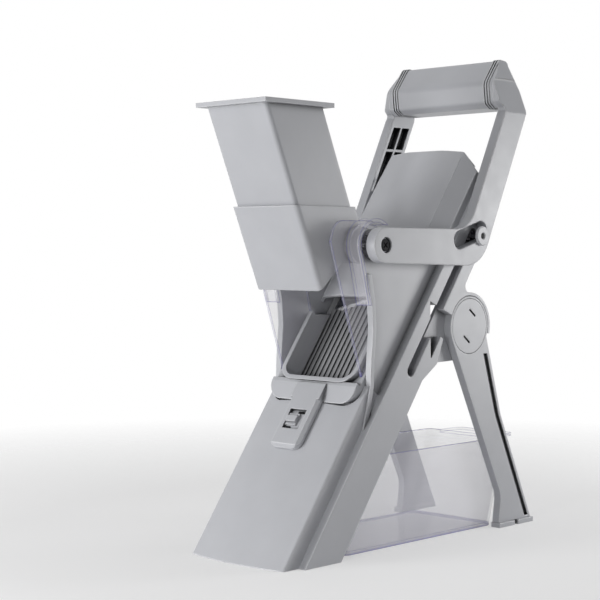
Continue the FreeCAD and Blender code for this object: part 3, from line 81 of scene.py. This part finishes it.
# Colours of the finishes, in linear values
GREY = (0.44, 0.447, 0.472)
GREY_LIGHT = (0.52, 0.527, 0.555)
# pale colour of the painted highlights on edges and ridges
EDGE_HIGHLIGHT = (0.8, 0.807, 0.83)
HANDLE = (0.41, 0.417, 0.442)
HANDLE_LIGHT = (0.49, 0.497, 0.525)
DECK_DARK = (0.3, 0.303, 0.314)
DECK_LIGHT = (0.38, 0.384, 0.396)
STEEL = (0.42, 0.43, 0.45)
STEEL_LIGHT = (0.56, 0.57, 0.59)
DARK_STEEL = (0.05, 0.05, 0.055)
DARK_STEEL_LIGHT = (0.11, 0.11, 0.12)
# black of the painted shade in holes and slots
BLACK = (0.012, 0.012, 0.013)
BLACK_LIGHT = (0.025, 0.025, 0.027)
CLEAR = (0.86, 0.85, 0.92)
CLEAR_EDGE = (0.15, 0.14, 0.46)

# Noises: features per metre, levels of detail and stretch
CLOUD_NOISE = (38, 4)
SMUDGE_NOISE = (90, 5)
GRAIN_NOISE = (2600, 2)
BRUSH_NOISE = (420, 5, (0.05, 1, 1))
RIPPLE_NOISE = (24, 2)
HAZE_NOISE = (120, 4)
NOISE_LOW = 0.3
NOISE_HIGH = 0.7

# Bumps: strength and height
GRAIN_BUMP = (0.16, 0.06 * MM)
BRUSH_BUMP = (0.12, 0.03 * MM)
RIPPLE_BUMP = (0.06, 0.4 * MM)

# Least and most roughness, that of edges with a painted highlight, the strength of the gloss, and refraction
SATIN = (0.37, 0.42)
MATT = (0.55, 0.7)
BRUSHED = (0.2, 0.36)
POLISHED = (0.04, 0.1)
EDGE_ROUGHNESS = 0.24
SATIN_SHINE = 0.5
MATT_SHINE = 0.1
CLEAR_SHINE = 0.5
PLASTIC_IOR = 1.5
CLEAR_IOR = 1.49

# Widths of the rounded edges
GREY_EDGE = 1.2 * MM
HANDLE_EDGE = 1.6 * MM
DECK_EDGE = 0.35 * MM
RIDGE_EDGE = 0.2 * MM
GAP_EDGE = 0.1 * MM
STEEL_EDGE = 0.3 * MM
CLEAR_EDGE_WIDTH = 1.1 * MM

# Edges: cosine between the rounded and the flat normal, on an edge and on a face
EDGE_RANGE = (0.95, 0.998)
EDGE_SAMPLES = 4

# Hollows: how open their depth and a face are, how far a wall shades and what share of the colour the painted
# shade leaves
HOLLOW_RANGE = (0.42, 0.8)
HOLLOW_SAMPLES = 6
HOLLOW_REACH = 11 * MM
HOLLOW_SHADE_SHARE = 0.06

# Shares of the lighter cloud and of the painted edge highlight in moulded plastic
CLOUD_SHARE = 0.3
HIGHLIGHT_SHARE = 0.8

# Clear plastic: opacity of a wall and of a cut edge, and the violet foot as a share of the height
CLEAR_BODY = 0.17
CLEAR_RIM = 0.72
CLEAR_FOOT = 0.045

# Sockets of the mix node, whose names are the same for values and for colours
MIX_VALUES = (2, 3)
MIX_COLOURS = (6, 7)
COLOUR_RESULT = 2

# Ramp of the rails: its lean, and how far forward its foot is
RAMP = math.radians(54)
RAMP_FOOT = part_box("side_frame_right")[0].y


def joint_place(name):
    """Point on a joint's axis."""
    joint = next(j for j in frame["joints"] if j["name"] == name)
    return Vector(joint["pos_m"])


def span_across(node):
    """Least and most distance of a node's box from the middle plane."""
    low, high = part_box(node)
    return sorted((abs(low.x), abs(high.x)))


def on_ramp(across, along, out):
    """Point given in millimetres across, up along and out of the leaning ramp."""
    return Vector((
        across * MM,
        RAMP_FOOT + (along * math.cos(RAMP) - out * math.sin(RAMP)) * MM,
        (along * math.sin(RAMP) + out * math.cos(RAMP)) * MM,
    ))


class Shader:
    """Node tree of one material, with the wiring that the finishes share."""

    def __init__(self, name):
        self.material = bpy.data.materials.new(name)
        self.material.use_nodes = True
        self.tree = self.material.node_tree
        self.surface = self.tree.nodes["Principled BSDF"]
        self.place = self.add("ShaderNodeTexCoord").outputs["Object"]

    def add(self, kind, **settings):
        """New node with its settings."""
        node = self.tree.nodes.new(kind)
        for key, setting in settings.items():
            setattr(node, key, setting)
        return node

    def link(self, source, target):
        """Wire an output to an input."""
        self.tree.links.new(source, target)

    def drive(self, source, name):
        """Wire an output to an input of the surface."""
        self.link(source, self.surface.inputs[name])

    def noise(self, scale, detail, stretch=(1, 1, 1)):
        """Noise in object space; scale is in features per metre."""
        mapping = self.add("ShaderNodeMapping")
        mapping.inputs["Scale"].default_value = stretch
        self.link(self.place, mapping.inputs["Vector"])
        texture = self.add("ShaderNodeTexNoise")
        texture.inputs["Scale"].default_value = scale
        texture.inputs["Detail"].default_value = detail
        self.link(mapping.outputs["Vector"], texture.inputs["Vector"])
        return texture.outputs["Fac"]

    def spread(self, value, low, high, start=NOISE_LOW, end=NOISE_HIGH):
        """Value between start and end spread over low to high."""
        node = self.add("ShaderNodeMapRange")
        node.inputs["From Min"].default_value = start
        node.inputs["From Max"].default_value = end
        node.inputs["To Min"].default_value = low
        node.inputs["To Max"].default_value = high
        self.link(value, node.inputs["Value"])
        return node.outputs["Result"]

    def mix(self, factor, first, second):
        """Colour between two plain colours or outputs."""
        node = self.add("ShaderNodeMix", data_type="RGBA")
        self.link(factor, node.inputs["Factor"])
        for colour, socket in zip((first, second), MIX_COLOURS):
            if isinstance(colour, tuple):
                node.inputs[socket].default_value = (*colour, 1)
            else:
                self.link(colour, node.inputs[socket])
        return node.outputs[COLOUR_RESULT]

    def blend(self, factor, first, second):
        """Value between an output and a plain value."""
        node = self.add("ShaderNodeMix", data_type="FLOAT")
        start, end = MIX_VALUES
        self.link(factor, node.inputs["Factor"])
        self.link(first, node.inputs[start])
        node.inputs[end].default_value = second
        return node.outputs["Result"]

    def edge_mask(self, radius):
        """Rounded normal, and how far it leaves the flat one: 1 on sharp edges."""
        bevel = self.add("ShaderNodeBevel", samples=EDGE_SAMPLES)
        bevel.inputs["Radius"].default_value = radius
        flat = self.add("ShaderNodeNewGeometry").outputs["Normal"]
        dot = self.add("ShaderNodeVectorMath", operation="DOT_PRODUCT")
        self.link(bevel.outputs["Normal"], dot.inputs[0])
        self.link(flat, dot.inputs[1])
        return bevel.outputs["Normal"], self.spread(dot.outputs["Value"], 1, 0, *EDGE_RANGE)

    def foot(self, share):
        """1 at the piece's lowest edge, fading out over a share of its height."""
        place = self.add("ShaderNodeTexCoord").outputs["Generated"]
        parts = self.add("ShaderNodeSeparateXYZ")
        self.link(place, parts.inputs[0])
        return self.spread(parts.outputs["Z"], 1, 0, 0, share)

    def larger(self, first, second):
        """The larger of two outputs."""
        node = self.add("ShaderNodeMath", operation="MAXIMUM")
        self.link(first, node.inputs[0])
        self.link(second, node.inputs[1])
        return node.outputs[0]

    def openness(self):
        """1 on open faces, 0 deep in the piece's own slots and hollows, where shade is painted into the colour."""
        shade = self.add("ShaderNodeAmbientOcclusion", samples=HOLLOW_SAMPLES, only_local=True)
        shade.inputs["Distance"].default_value = HOLLOW_REACH
        return self.spread(shade.outputs["AO"], 0, 1, *HOLLOW_RANGE)

    def bump(self, height, strength, distance, normal):
        """Fine relief on top of the rounded normal."""
        node = self.add("ShaderNodeBump")
        node.inputs["Strength"].default_value = strength
        node.inputs["Distance"].default_value = distance
        self.link(height, node.inputs["Height"])
        self.link(normal, node.inputs["Normal"])
        self.drive(node.outputs["Normal"], "Normal")


def mix_shaders(tree, factor, first, second):
    """Shader between two shaders of a node tree."""
    node = tree.nodes.new("ShaderNodeMixShader")
    for source, socket in zip((factor, first, second), node.inputs):
        tree.links.new(source, socket)
    return node.outputs[0]


def moulded_plastic(name, colour, light, highlight_colour, edge, roughness=SATIN, shine=SATIN_SHINE):
    """Moulded plastic: faint cloudiness, fine grain, a painted highlight on its edges and painted shade in its
    hollows.
    """
    shader = Shader(name)
    cloud = shader.noise(*CLOUD_NOISE)
    normal, edge_highlight_mask = shader.edge_mask(edge)
    base = shader.mix(shader.spread(cloud, 0, CLOUD_SHARE), colour, light)
    # painted highlight: edges turn to the paler rim colour
    highlighted_base = shader.mix(shader.spread(edge_highlight_mask, 0, HIGHLIGHT_SHARE, 0, 1), base, highlight_colour)
    # painted shade: the colour darkens deep in the piece's own slots and hollows
    hollow_shade = tuple(HOLLOW_SHADE_SHARE * part for part in colour)
    open_face = shader.openness()
    shader.drive(shader.mix(open_face, hollow_shade, highlighted_base), "Base Color")
    smudge = shader.spread(shader.noise(*SMUDGE_NOISE), *roughness)
    shader.drive(shader.blend(edge_highlight_mask, smudge, EDGE_ROUGHNESS), "Roughness")
    shader.drive(shader.spread(open_face, 0, shine, 0, 1), "Specular IOR Level")
    shader.bump(shader.noise(*GRAIN_NOISE), *GRAIN_BUMP, normal)
    shader.surface.inputs["IOR"].default_value = PLASTIC_IOR
    return shader.material


def brushed_steel(name, colour, light):
    """Brushed steel with fine lines across the width and a painted highlight along its edges."""
    shader = Shader(name)
    lines = shader.noise(*BRUSH_NOISE)
    normal, edge_highlight_mask = shader.edge_mask(STEEL_EDGE)
    base = shader.mix(shader.spread(lines, 0, 1), colour, light)
    # painted highlight: edges turn to the lighter colour
    shader.drive(shader.mix(edge_highlight_mask, base, light), "Base Color")
    shader.drive(shader.spread(lines, *BRUSHED), "Roughness")
    shader.bump(lines, *BRUSH_BUMP, normal)
    shader.surface.inputs["Metallic"].default_value = 1
    return shader.material


def clear_plastic(name):
    """Clear moulded plastic: thin to look through, violet and denser along its cut edges."""
    shader = Shader(name)
    ripple = shader.noise(*RIPPLE_NOISE)
    normal, sharp = shader.edge_mask(CLEAR_EDGE_WIDTH)
    edge = shader.larger(sharp, shader.foot(CLEAR_FOOT))
    shader.drive(shader.mix(edge, CLEAR, CLEAR_EDGE), "Base Color")
    shader.drive(shader.spread(shader.noise(*HAZE_NOISE), *POLISHED), "Roughness")
    shader.drive(shader.spread(edge, CLEAR_BODY, CLEAR_RIM, 0, 1), "Alpha")
    shader.bump(ripple, *RIPPLE_BUMP, normal)
    shader.surface.inputs["IOR"].default_value = CLEAR_IOR
    shader.surface.inputs["Specular IOR Level"].default_value = CLEAR_SHINE
    return shader.material


FINISHES = {
    "grey_plastic": moulded_plastic("grey_plastic", GREY, GREY_LIGHT, EDGE_HIGHLIGHT, GREY_EDGE),
    "dark_plastic": moulded_plastic("dark_plastic", DECK_DARK, DECK_LIGHT, DECK_LIGHT, DECK_EDGE),
    "steel": brushed_steel("steel", STEEL, STEEL_LIGHT),
    "clear_plastic": clear_plastic("clear_plastic"),
}
HANDLE_PLASTIC = moulded_plastic("handle_plastic", HANDLE, HANDLE_LIGHT, EDGE_HIGHLIGHT, HANDLE_EDGE)
# pale finish of the cover ridges, as painted highlight lines
RIDGE_HIGHLIGHT_PLASTIC = moulded_plastic("ridge_highlight_plastic", GREY_LIGHT, EDGE_HIGHLIGHT, EDGE_HIGHLIGHT, RIDGE_EDGE)
BLACKENED_STEEL = brushed_steel("blackened_steel", DARK_STEEL, DARK_STEEL_LIGHT)
SHADOW_GAP = moulded_plastic("shadow_gap", BLACK, BLACK_LIGHT, BLACK_LIGHT, GAP_EDGE, MATT, MATT_SHINE)
OWN_FINISHES = {
    "handle_grip": HANDLE_PLASTIC,
    "handle_arm_right": HANDLE_PLASTIC,
    "handle_arm_left": HANDLE_PLASTIC,
    "sled_frame": FINISHES["dark_plastic"],
    "guide_pin_right": BLACKENED_STEEL,
    "guide_pin_left": BLACKENED_STEEL,
    "pivot_bolt_right": BLACKENED_STEEL,
    "pivot_bolt_left": BLACKENED_STEEL,
}


def finish_nodes():
    """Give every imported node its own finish, or else that of its slot."""
    for row in frame["record"]["subparts"]:
        for slot in nodes[row["node"]].material_slots:
            slot.material = OWN_FINISHES.get(row["node"], FINISHES[row["material_slot"]])


def new_piece(name, mesh, material, body):
    """Object of a finished mesh, smooth, riding on a body."""
    for polygon in mesh.polygons:
        polygon.use_smooth = True
    mesh.materials.append(material)
    piece = bpy.data.objects.new(name, mesh)
    bpy.context.scene.collection.objects.link(piece)
    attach(piece, body)
    return piece


def mesh_of(shape, name):
    """Mesh from an edited shape, with its faces turned outward."""
    bmesh.ops.recalc_face_normals(shape, faces=shape.faces)
    mesh = bpy.data.meshes.new(name)
    shape.to_mesh(mesh)
    shape.free()
    return mesh


def join_rings(shape, near, far):
    """Band of faces between two closed rings of as many points."""
    for step in range(len(near)):
        following = (step + 1) % len(near)
        shape.faces.new((near[step], near[following], far[following], far[step]))


WIRE_SIDES = 10


def tube(points, radius, taper=0):
    """Round wire along points, closed at both ends, which narrow over a number of points."""
    shape = bmesh.new()
    rings = []
    guide = Vector((1, 0, 0))
    for index, point in enumerate(points):
        before = points[max(index - 1, 0)]
        after = points[min(index + 1, len(points) - 1)]
        course = (after - before).normalized()
        across = (guide - course * guide.dot(course)).normalized()
        up = course.cross(across)
        to_end = min(index, len(points) - 1 - index) + 1
        reach = radius * math.sqrt(min(1, to_end / (taper + 1)))
        ring = []
        for step in range(WIRE_SIDES):
            turn = 2 * math.pi * step / WIRE_SIDES
            ring.append(shape.verts.new(point + (across * math.cos(turn) + up * math.sin(turn)) * reach))
        rings.append(ring)
    for near, far in zip(rings, rings[1:]):
        join_rings(shape, near, far)
    shape.faces.new(rings[0])
    shape.faces.new(rings[-1])
    return shape


SPRING_WIRE = 0.65 * MM
SPRING_TURNS = 2.6
SPRING_STEPS = 28
SPRING_CLEAR = 0.35 * MM


def return_spring(side_name, side):
    """Wound torsion spring round the pivot boss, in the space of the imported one."""
    node = f"return_spring_{side_name}"
    pivot = joint_place("handle_hinge")
    inner, outer = span_across(node)
    start = inner + SPRING_WIRE + SPRING_CLEAR
    end = outer - SPRING_WIRE - SPRING_CLEAR
    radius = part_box(node)[1].z - pivot.z - SPRING_WIRE
    count = int(SPRING_TURNS * SPRING_STEPS)
    points = []
    for index in range(count + 1):
        share = index / count
        turn = 2 * math.pi * SPRING_TURNS * share
        points.append(Vector((
            side * (start + (end - start) * share),
            pivot.y - radius * math.sin(turn),
            pivot.z + radius * math.cos(turn),
        )))
    mesh = mesh_of(tube(points, SPRING_WIRE), node)
    piece = new_piece(f"wound_spring_{side_name}", mesh, BLACKENED_STEEL, "frame")
    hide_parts(node)


DOME_SHOULDER = 0.72
DOME_CROWN = 0.7


def circle(shape, along, radius, sides):
    """Ring of points round the X axis."""
    turns = [2 * math.pi * step / sides for step in range(sides)]
    return [shape.verts.new((along, radius * math.cos(turn), radius * math.sin(turn))) for turn in turns]


def domed_disc(radius, rise, rings, sides):
    """Low dome with a flat crown on a flat base, its axis along X."""
    shape = bmesh.new()
    last = circle(shape, 0, radius, sides)
    shape.faces.new(last)
    for ring in range(1, rings):
        slope = math.pi / 2 * ring / rings
        share = DOME_SHOULDER + (1 - DOME_SHOULDER) * math.cos(slope)
        if ring == rings - 1:
            share = DOME_CROWN
        row = circle(shape, rise * math.sin(slope), radius * share, sides)
        join_rings(shape, last, row)
        last = row
    shape.faces.new(last)
    return shape


SCREW_RADIUS = 4.7 * MM
SCREW_RISE = 0.9 * MM
SCREW_RINGS = 6
SCREW_SIDES = 40
RECESS_REACH = 2.9 * MM
RECESS_WIDTH = 1.0 * MM
RECESS_DEPTH = 0.75 * MM
RECESS_TURN = math.pi / 4


def cross_cutter():
    """Cross of two bars for a driver's recess, its axis along X."""
    shape = bmesh.new()
    for turn in (0, math.pi / 2):
        made = bmesh.ops.create_cube(shape, size=1)
        matrix = (Matrix.Rotation(turn + RECESS_TURN, 4, "X")
                  @ Matrix.Diagonal((RECESS_DEPTH * 2, RECESS_REACH * 2, RECESS_WIDTH, 1)))
        bmesh.ops.transform(shape, matrix=matrix, verts=made["verts"])
    return shape


def cut_recess(piece):
    """Cut the driver's recess into the crown of a screw head."""
    cutter = bpy.data.objects.new("cutter", mesh_of(cross_cutter(), "cutter"))
    bpy.context.scene.collection.objects.link(cutter)
    cutter.location = (SCREW_RISE, 0, 0)
    bpy.context.view_layer.update()
    recess = piece.modifiers.new("recess", "BOOLEAN")
    recess.object = cutter
    recess.solver = "EXACT"
    recess.use_self = True
    bpy.context.view_layer.objects.active = piece
    with bpy.context.temp_override(object=piece, active_object=piece):
        bpy.ops.object.modifier_apply(modifier="recess")
    bpy.data.objects.remove(cutter)


def pivot_screw(side_name, side):
    """Cross-recess screw head on the end of a pivot bolt, inside the arm's counterbore, black as painted shade in
    the hole.
    """
    pivot = joint_place("handle_hinge")
    end = span_across(f"pivot_bolt_{side_name}")[1]
    head = mesh_of(domed_disc(SCREW_RADIUS, SCREW_RISE, SCREW_RINGS, SCREW_SIDES), "pivot_screw")
    # black as painted shade in the counterbore
    piece = new_piece(f"pivot_screw_{side_name}", head, SHADOW_GAP, "frame")
    cut_recess(piece)
    for polygon in piece.data.polygons:
        polygon.use_smooth = False
    mirror = Matrix.Diagonal((side, 1, 1, 1))
    piece.data.transform(Matrix.Translation((side * end, pivot.y, pivot.z)) @ mirror)
    if side < 0:
        piece.data.flip_normals()


# Slots of the lock as thin black sheets of painted shade: name, left and right end, low and high edge, in
# millimetres on the ramp
LOCK_SLOTS = (
    ("lock_slot_shade_upper", -1.5, 8.0, 114.2, 116.5),
    ("lock_slot_shade_lower", -8.0, -2.0, 100.5, 102.8),
)
LOCK_FLOOR = 19.8
LOCK_SLOT_RISE = 0.1
LOCK_SLOT_ARC = 8


def lock_slot(name, left, right, low, high):
    """Thin black sheet with round ends on the floor of the lock's recess, as painted shade in a slot."""
    radius = (high - low) / 2
    middle = (high + low) / 2
    outline = []
    for centre, first in ((right - radius, -90), (left + radius, 90)):
        for step in range(LOCK_SLOT_ARC + 1):
            turn = math.radians(first + 180 * step / LOCK_SLOT_ARC)
            outline.append((centre + radius * math.cos(turn), middle + radius * math.sin(turn)))
    shape = bmesh.new()
    floor, top = ([shape.verts.new(on_ramp(across, along, LOCK_FLOOR + rise)) for across, along in outline]
                  for rise in (0, LOCK_SLOT_RISE))
    join_rings(shape, floor, top)
    shape.faces.new(floor)
    shape.faces.new(top)
    new_piece(name, mesh_of(shape, name), SHADOW_GAP, "gate")


EYE_RADIUS = 2.1 * MM
EYE_SINK = 0.35 * MM
EYE_RISE = 0.25 * MM
EYE_RINGS = 4
EYE_SIDES = 28


def pin_eye(side_name, side):
    """End of the guide pin just inside the bore of its cap, black as painted shade in the bore."""
    cap = f"pin_cap_{side_name}"
    low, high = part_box(cap)
    middle = (low + high) / 2
    face = span_across(cap)[1] - EYE_SINK - EYE_RISE
    shape = domed_disc(EYE_RADIUS, EYE_RISE, EYE_RINGS, EYE_SIDES)
    place = Matrix.Translation((side * face, middle.y, middle.z)) @ Matrix.Diagonal((side, 1, 1, 1))
    bmesh.ops.transform(shape, matrix=place, verts=shape.verts)
    new_piece(f"pin_eye_{side_name}", mesh_of(shape, "pin_eye"), SHADOW_GAP, "sled")


# Ridges of the upper cover in a pale colour as painted highlight lines: name, place across and out, low and high
# end, in millimetres on the ramp
RIDGES = (
    ("inner", 38.0, 16.72, 226, 366),
    ("outer", 50.35, 6.3, 292, 356),
)
RIDGE_RADIUS = 0.42 * MM
RIDGE_PITCH = 2
RIDGE_TAPER = 4


def cover_ridge(name, across, out, low, high):
    """Fine moulded ridge along an edge of the upper cover, running out at both ends, in a pale colour as a painted
    highlight line.
    """
    points = [on_ramp(across, along, out) for along in range(low, high + 1, RIDGE_PITCH)]
    shape = tube(points, RIDGE_RADIUS, RIDGE_TAPER)
    new_piece(name, mesh_of(shape, name), RIDGE_HIGHLIGHT_PLASTIC, "frame")


def add_pieces():
    """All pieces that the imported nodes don't hold."""
    for side_name, side in SIDES:
        return_spring(side_name, side)
        pivot_screw(side_name, side)
        pin_eye(side_name, side)
        for place, across, out, low, high in RIDGES:
            cover_ridge(f"cover_ridge_{place}_{side_name}", side * across, out, low, high)
    for row in LOCK_SLOTS:
        lock_slot(*row)


def add_lamp(name, place, size, power):
    """Square soft lamp aimed at the object."""
    data = bpy.data.lights.new(name, "AREA")
    data.size = size
    data.energy = power
    lamp = bpy.data.objects.new(name, data)
    lamp.visible_camera = False
    lamp.location = place
    lamp.rotation_euler = (Vector(LAMP_TARGET) - Vector(place)).to_track_quat("-Z", "Y").to_euler()
    bpy.context.scene.collection.objects.link(lamp)


def seen_directly(tree):
    """1 for rays from the camera, off gloss and through clear plastic."""
    path = tree.nodes.new("ShaderNodeLightPath")
    total = path.outputs["Is Camera Ray"]
    for output in ("Is Glossy Ray", "Is Transmission Ray"):
        both = tree.nodes.new("ShaderNodeMath")
        both.operation = "MAXIMUM"
        tree.links.new(total, both.inputs[0])
        tree.links.new(path.outputs[output], both.inputs[1])
        total = both.outputs[0]
    return total


def add_world():
    """Even soft light, white where it is seen."""
    world = bpy.data.worlds.new("studio")
    world.use_nodes = True
    tree = world.node_tree
    light = tree.nodes["Background"]
    light.inputs["Color"].default_value = WHITE
    light.inputs["Strength"].default_value = WORLD_LEVEL
    white = tree.nodes.new("ShaderNodeBackground")
    white.inputs["Color"].default_value = WHITE
    white.inputs["Strength"].default_value = 1
    shown = mix_shaders(tree, seen_directly(tree), light.outputs[0], white.outputs[0])
    tree.links.new(shown, tree.nodes["World Output"].inputs["Surface"])
    bpy.context.scene.world = world


def floor_finish():
    """Pale floor that keeps the shadow and fades into the white surround."""
    shader = Shader("floor")
    shader.surface.inputs["Base Color"].default_value = (*FLOOR_COLOUR, 1)
    shader.surface.inputs["Roughness"].default_value = FLOOR_ROUGHNESS
    distance = shader.add("ShaderNodeVectorMath", operation="LENGTH")
    shader.link(shader.place, distance.inputs[0])
    fade = shader.spread(distance.outputs["Value"], 1, 0, FLOOR_SOLID, FLOOR_FADE)
    shader.drive(fade, "Alpha")
    white = shader.spread(seen_directly(shader.tree), 0, FLOOR_WHITE, 0, 1)
    glow = shader.add("ShaderNodeEmission")
    clear = shader.add("ShaderNodeBsdfTransparent")
    pale = mix_shaders(shader.tree, fade, clear.outputs[0], glow.outputs[0])
    shown = mix_shaders(shader.tree, white, shader.surface.outputs[0], pale)
    shader.link(shown, shader.tree.nodes["Material Output"].inputs["Surface"])
    return shader.material


def add_floor():
    """Round floor under the object."""
    shape = bmesh.new()
    bmesh.ops.create_circle(shape, cap_ends=True, radius=FLOOR_RADIUS, segments=FLOOR_SIDES)
    floor = bpy.data.objects.new("floor", mesh_of(shape, "floor"))
    bpy.context.scene.collection.objects.link(floor)
    floor.data.materials.append(floor_finish())


def add_camera():
    """Camera at the photograph's angle."""
    data = bpy.data.cameras.new("camera")
    data.lens = CAMERA_LENS
    data.sensor_width = CAMERA_SENSOR
    camera = bpy.data.objects.new("camera", data)
    camera.location = CAMERA_PLACE
    camera.rotation_euler = (math.pi / 2 - CAMERA_DROP, 0, CAMERA_TURN)
    bpy.context.scene.collection.objects.link(camera)
    bpy.context.scene.camera = camera


bpy.context.scene.view_settings.view_transform = "Standard"
finish_nodes()
add_pieces()
for lamp_name, lamp in LAMPS.items():
    add_lamp(lamp_name, *lamp)
add_world()
add_floor()
add_camera()
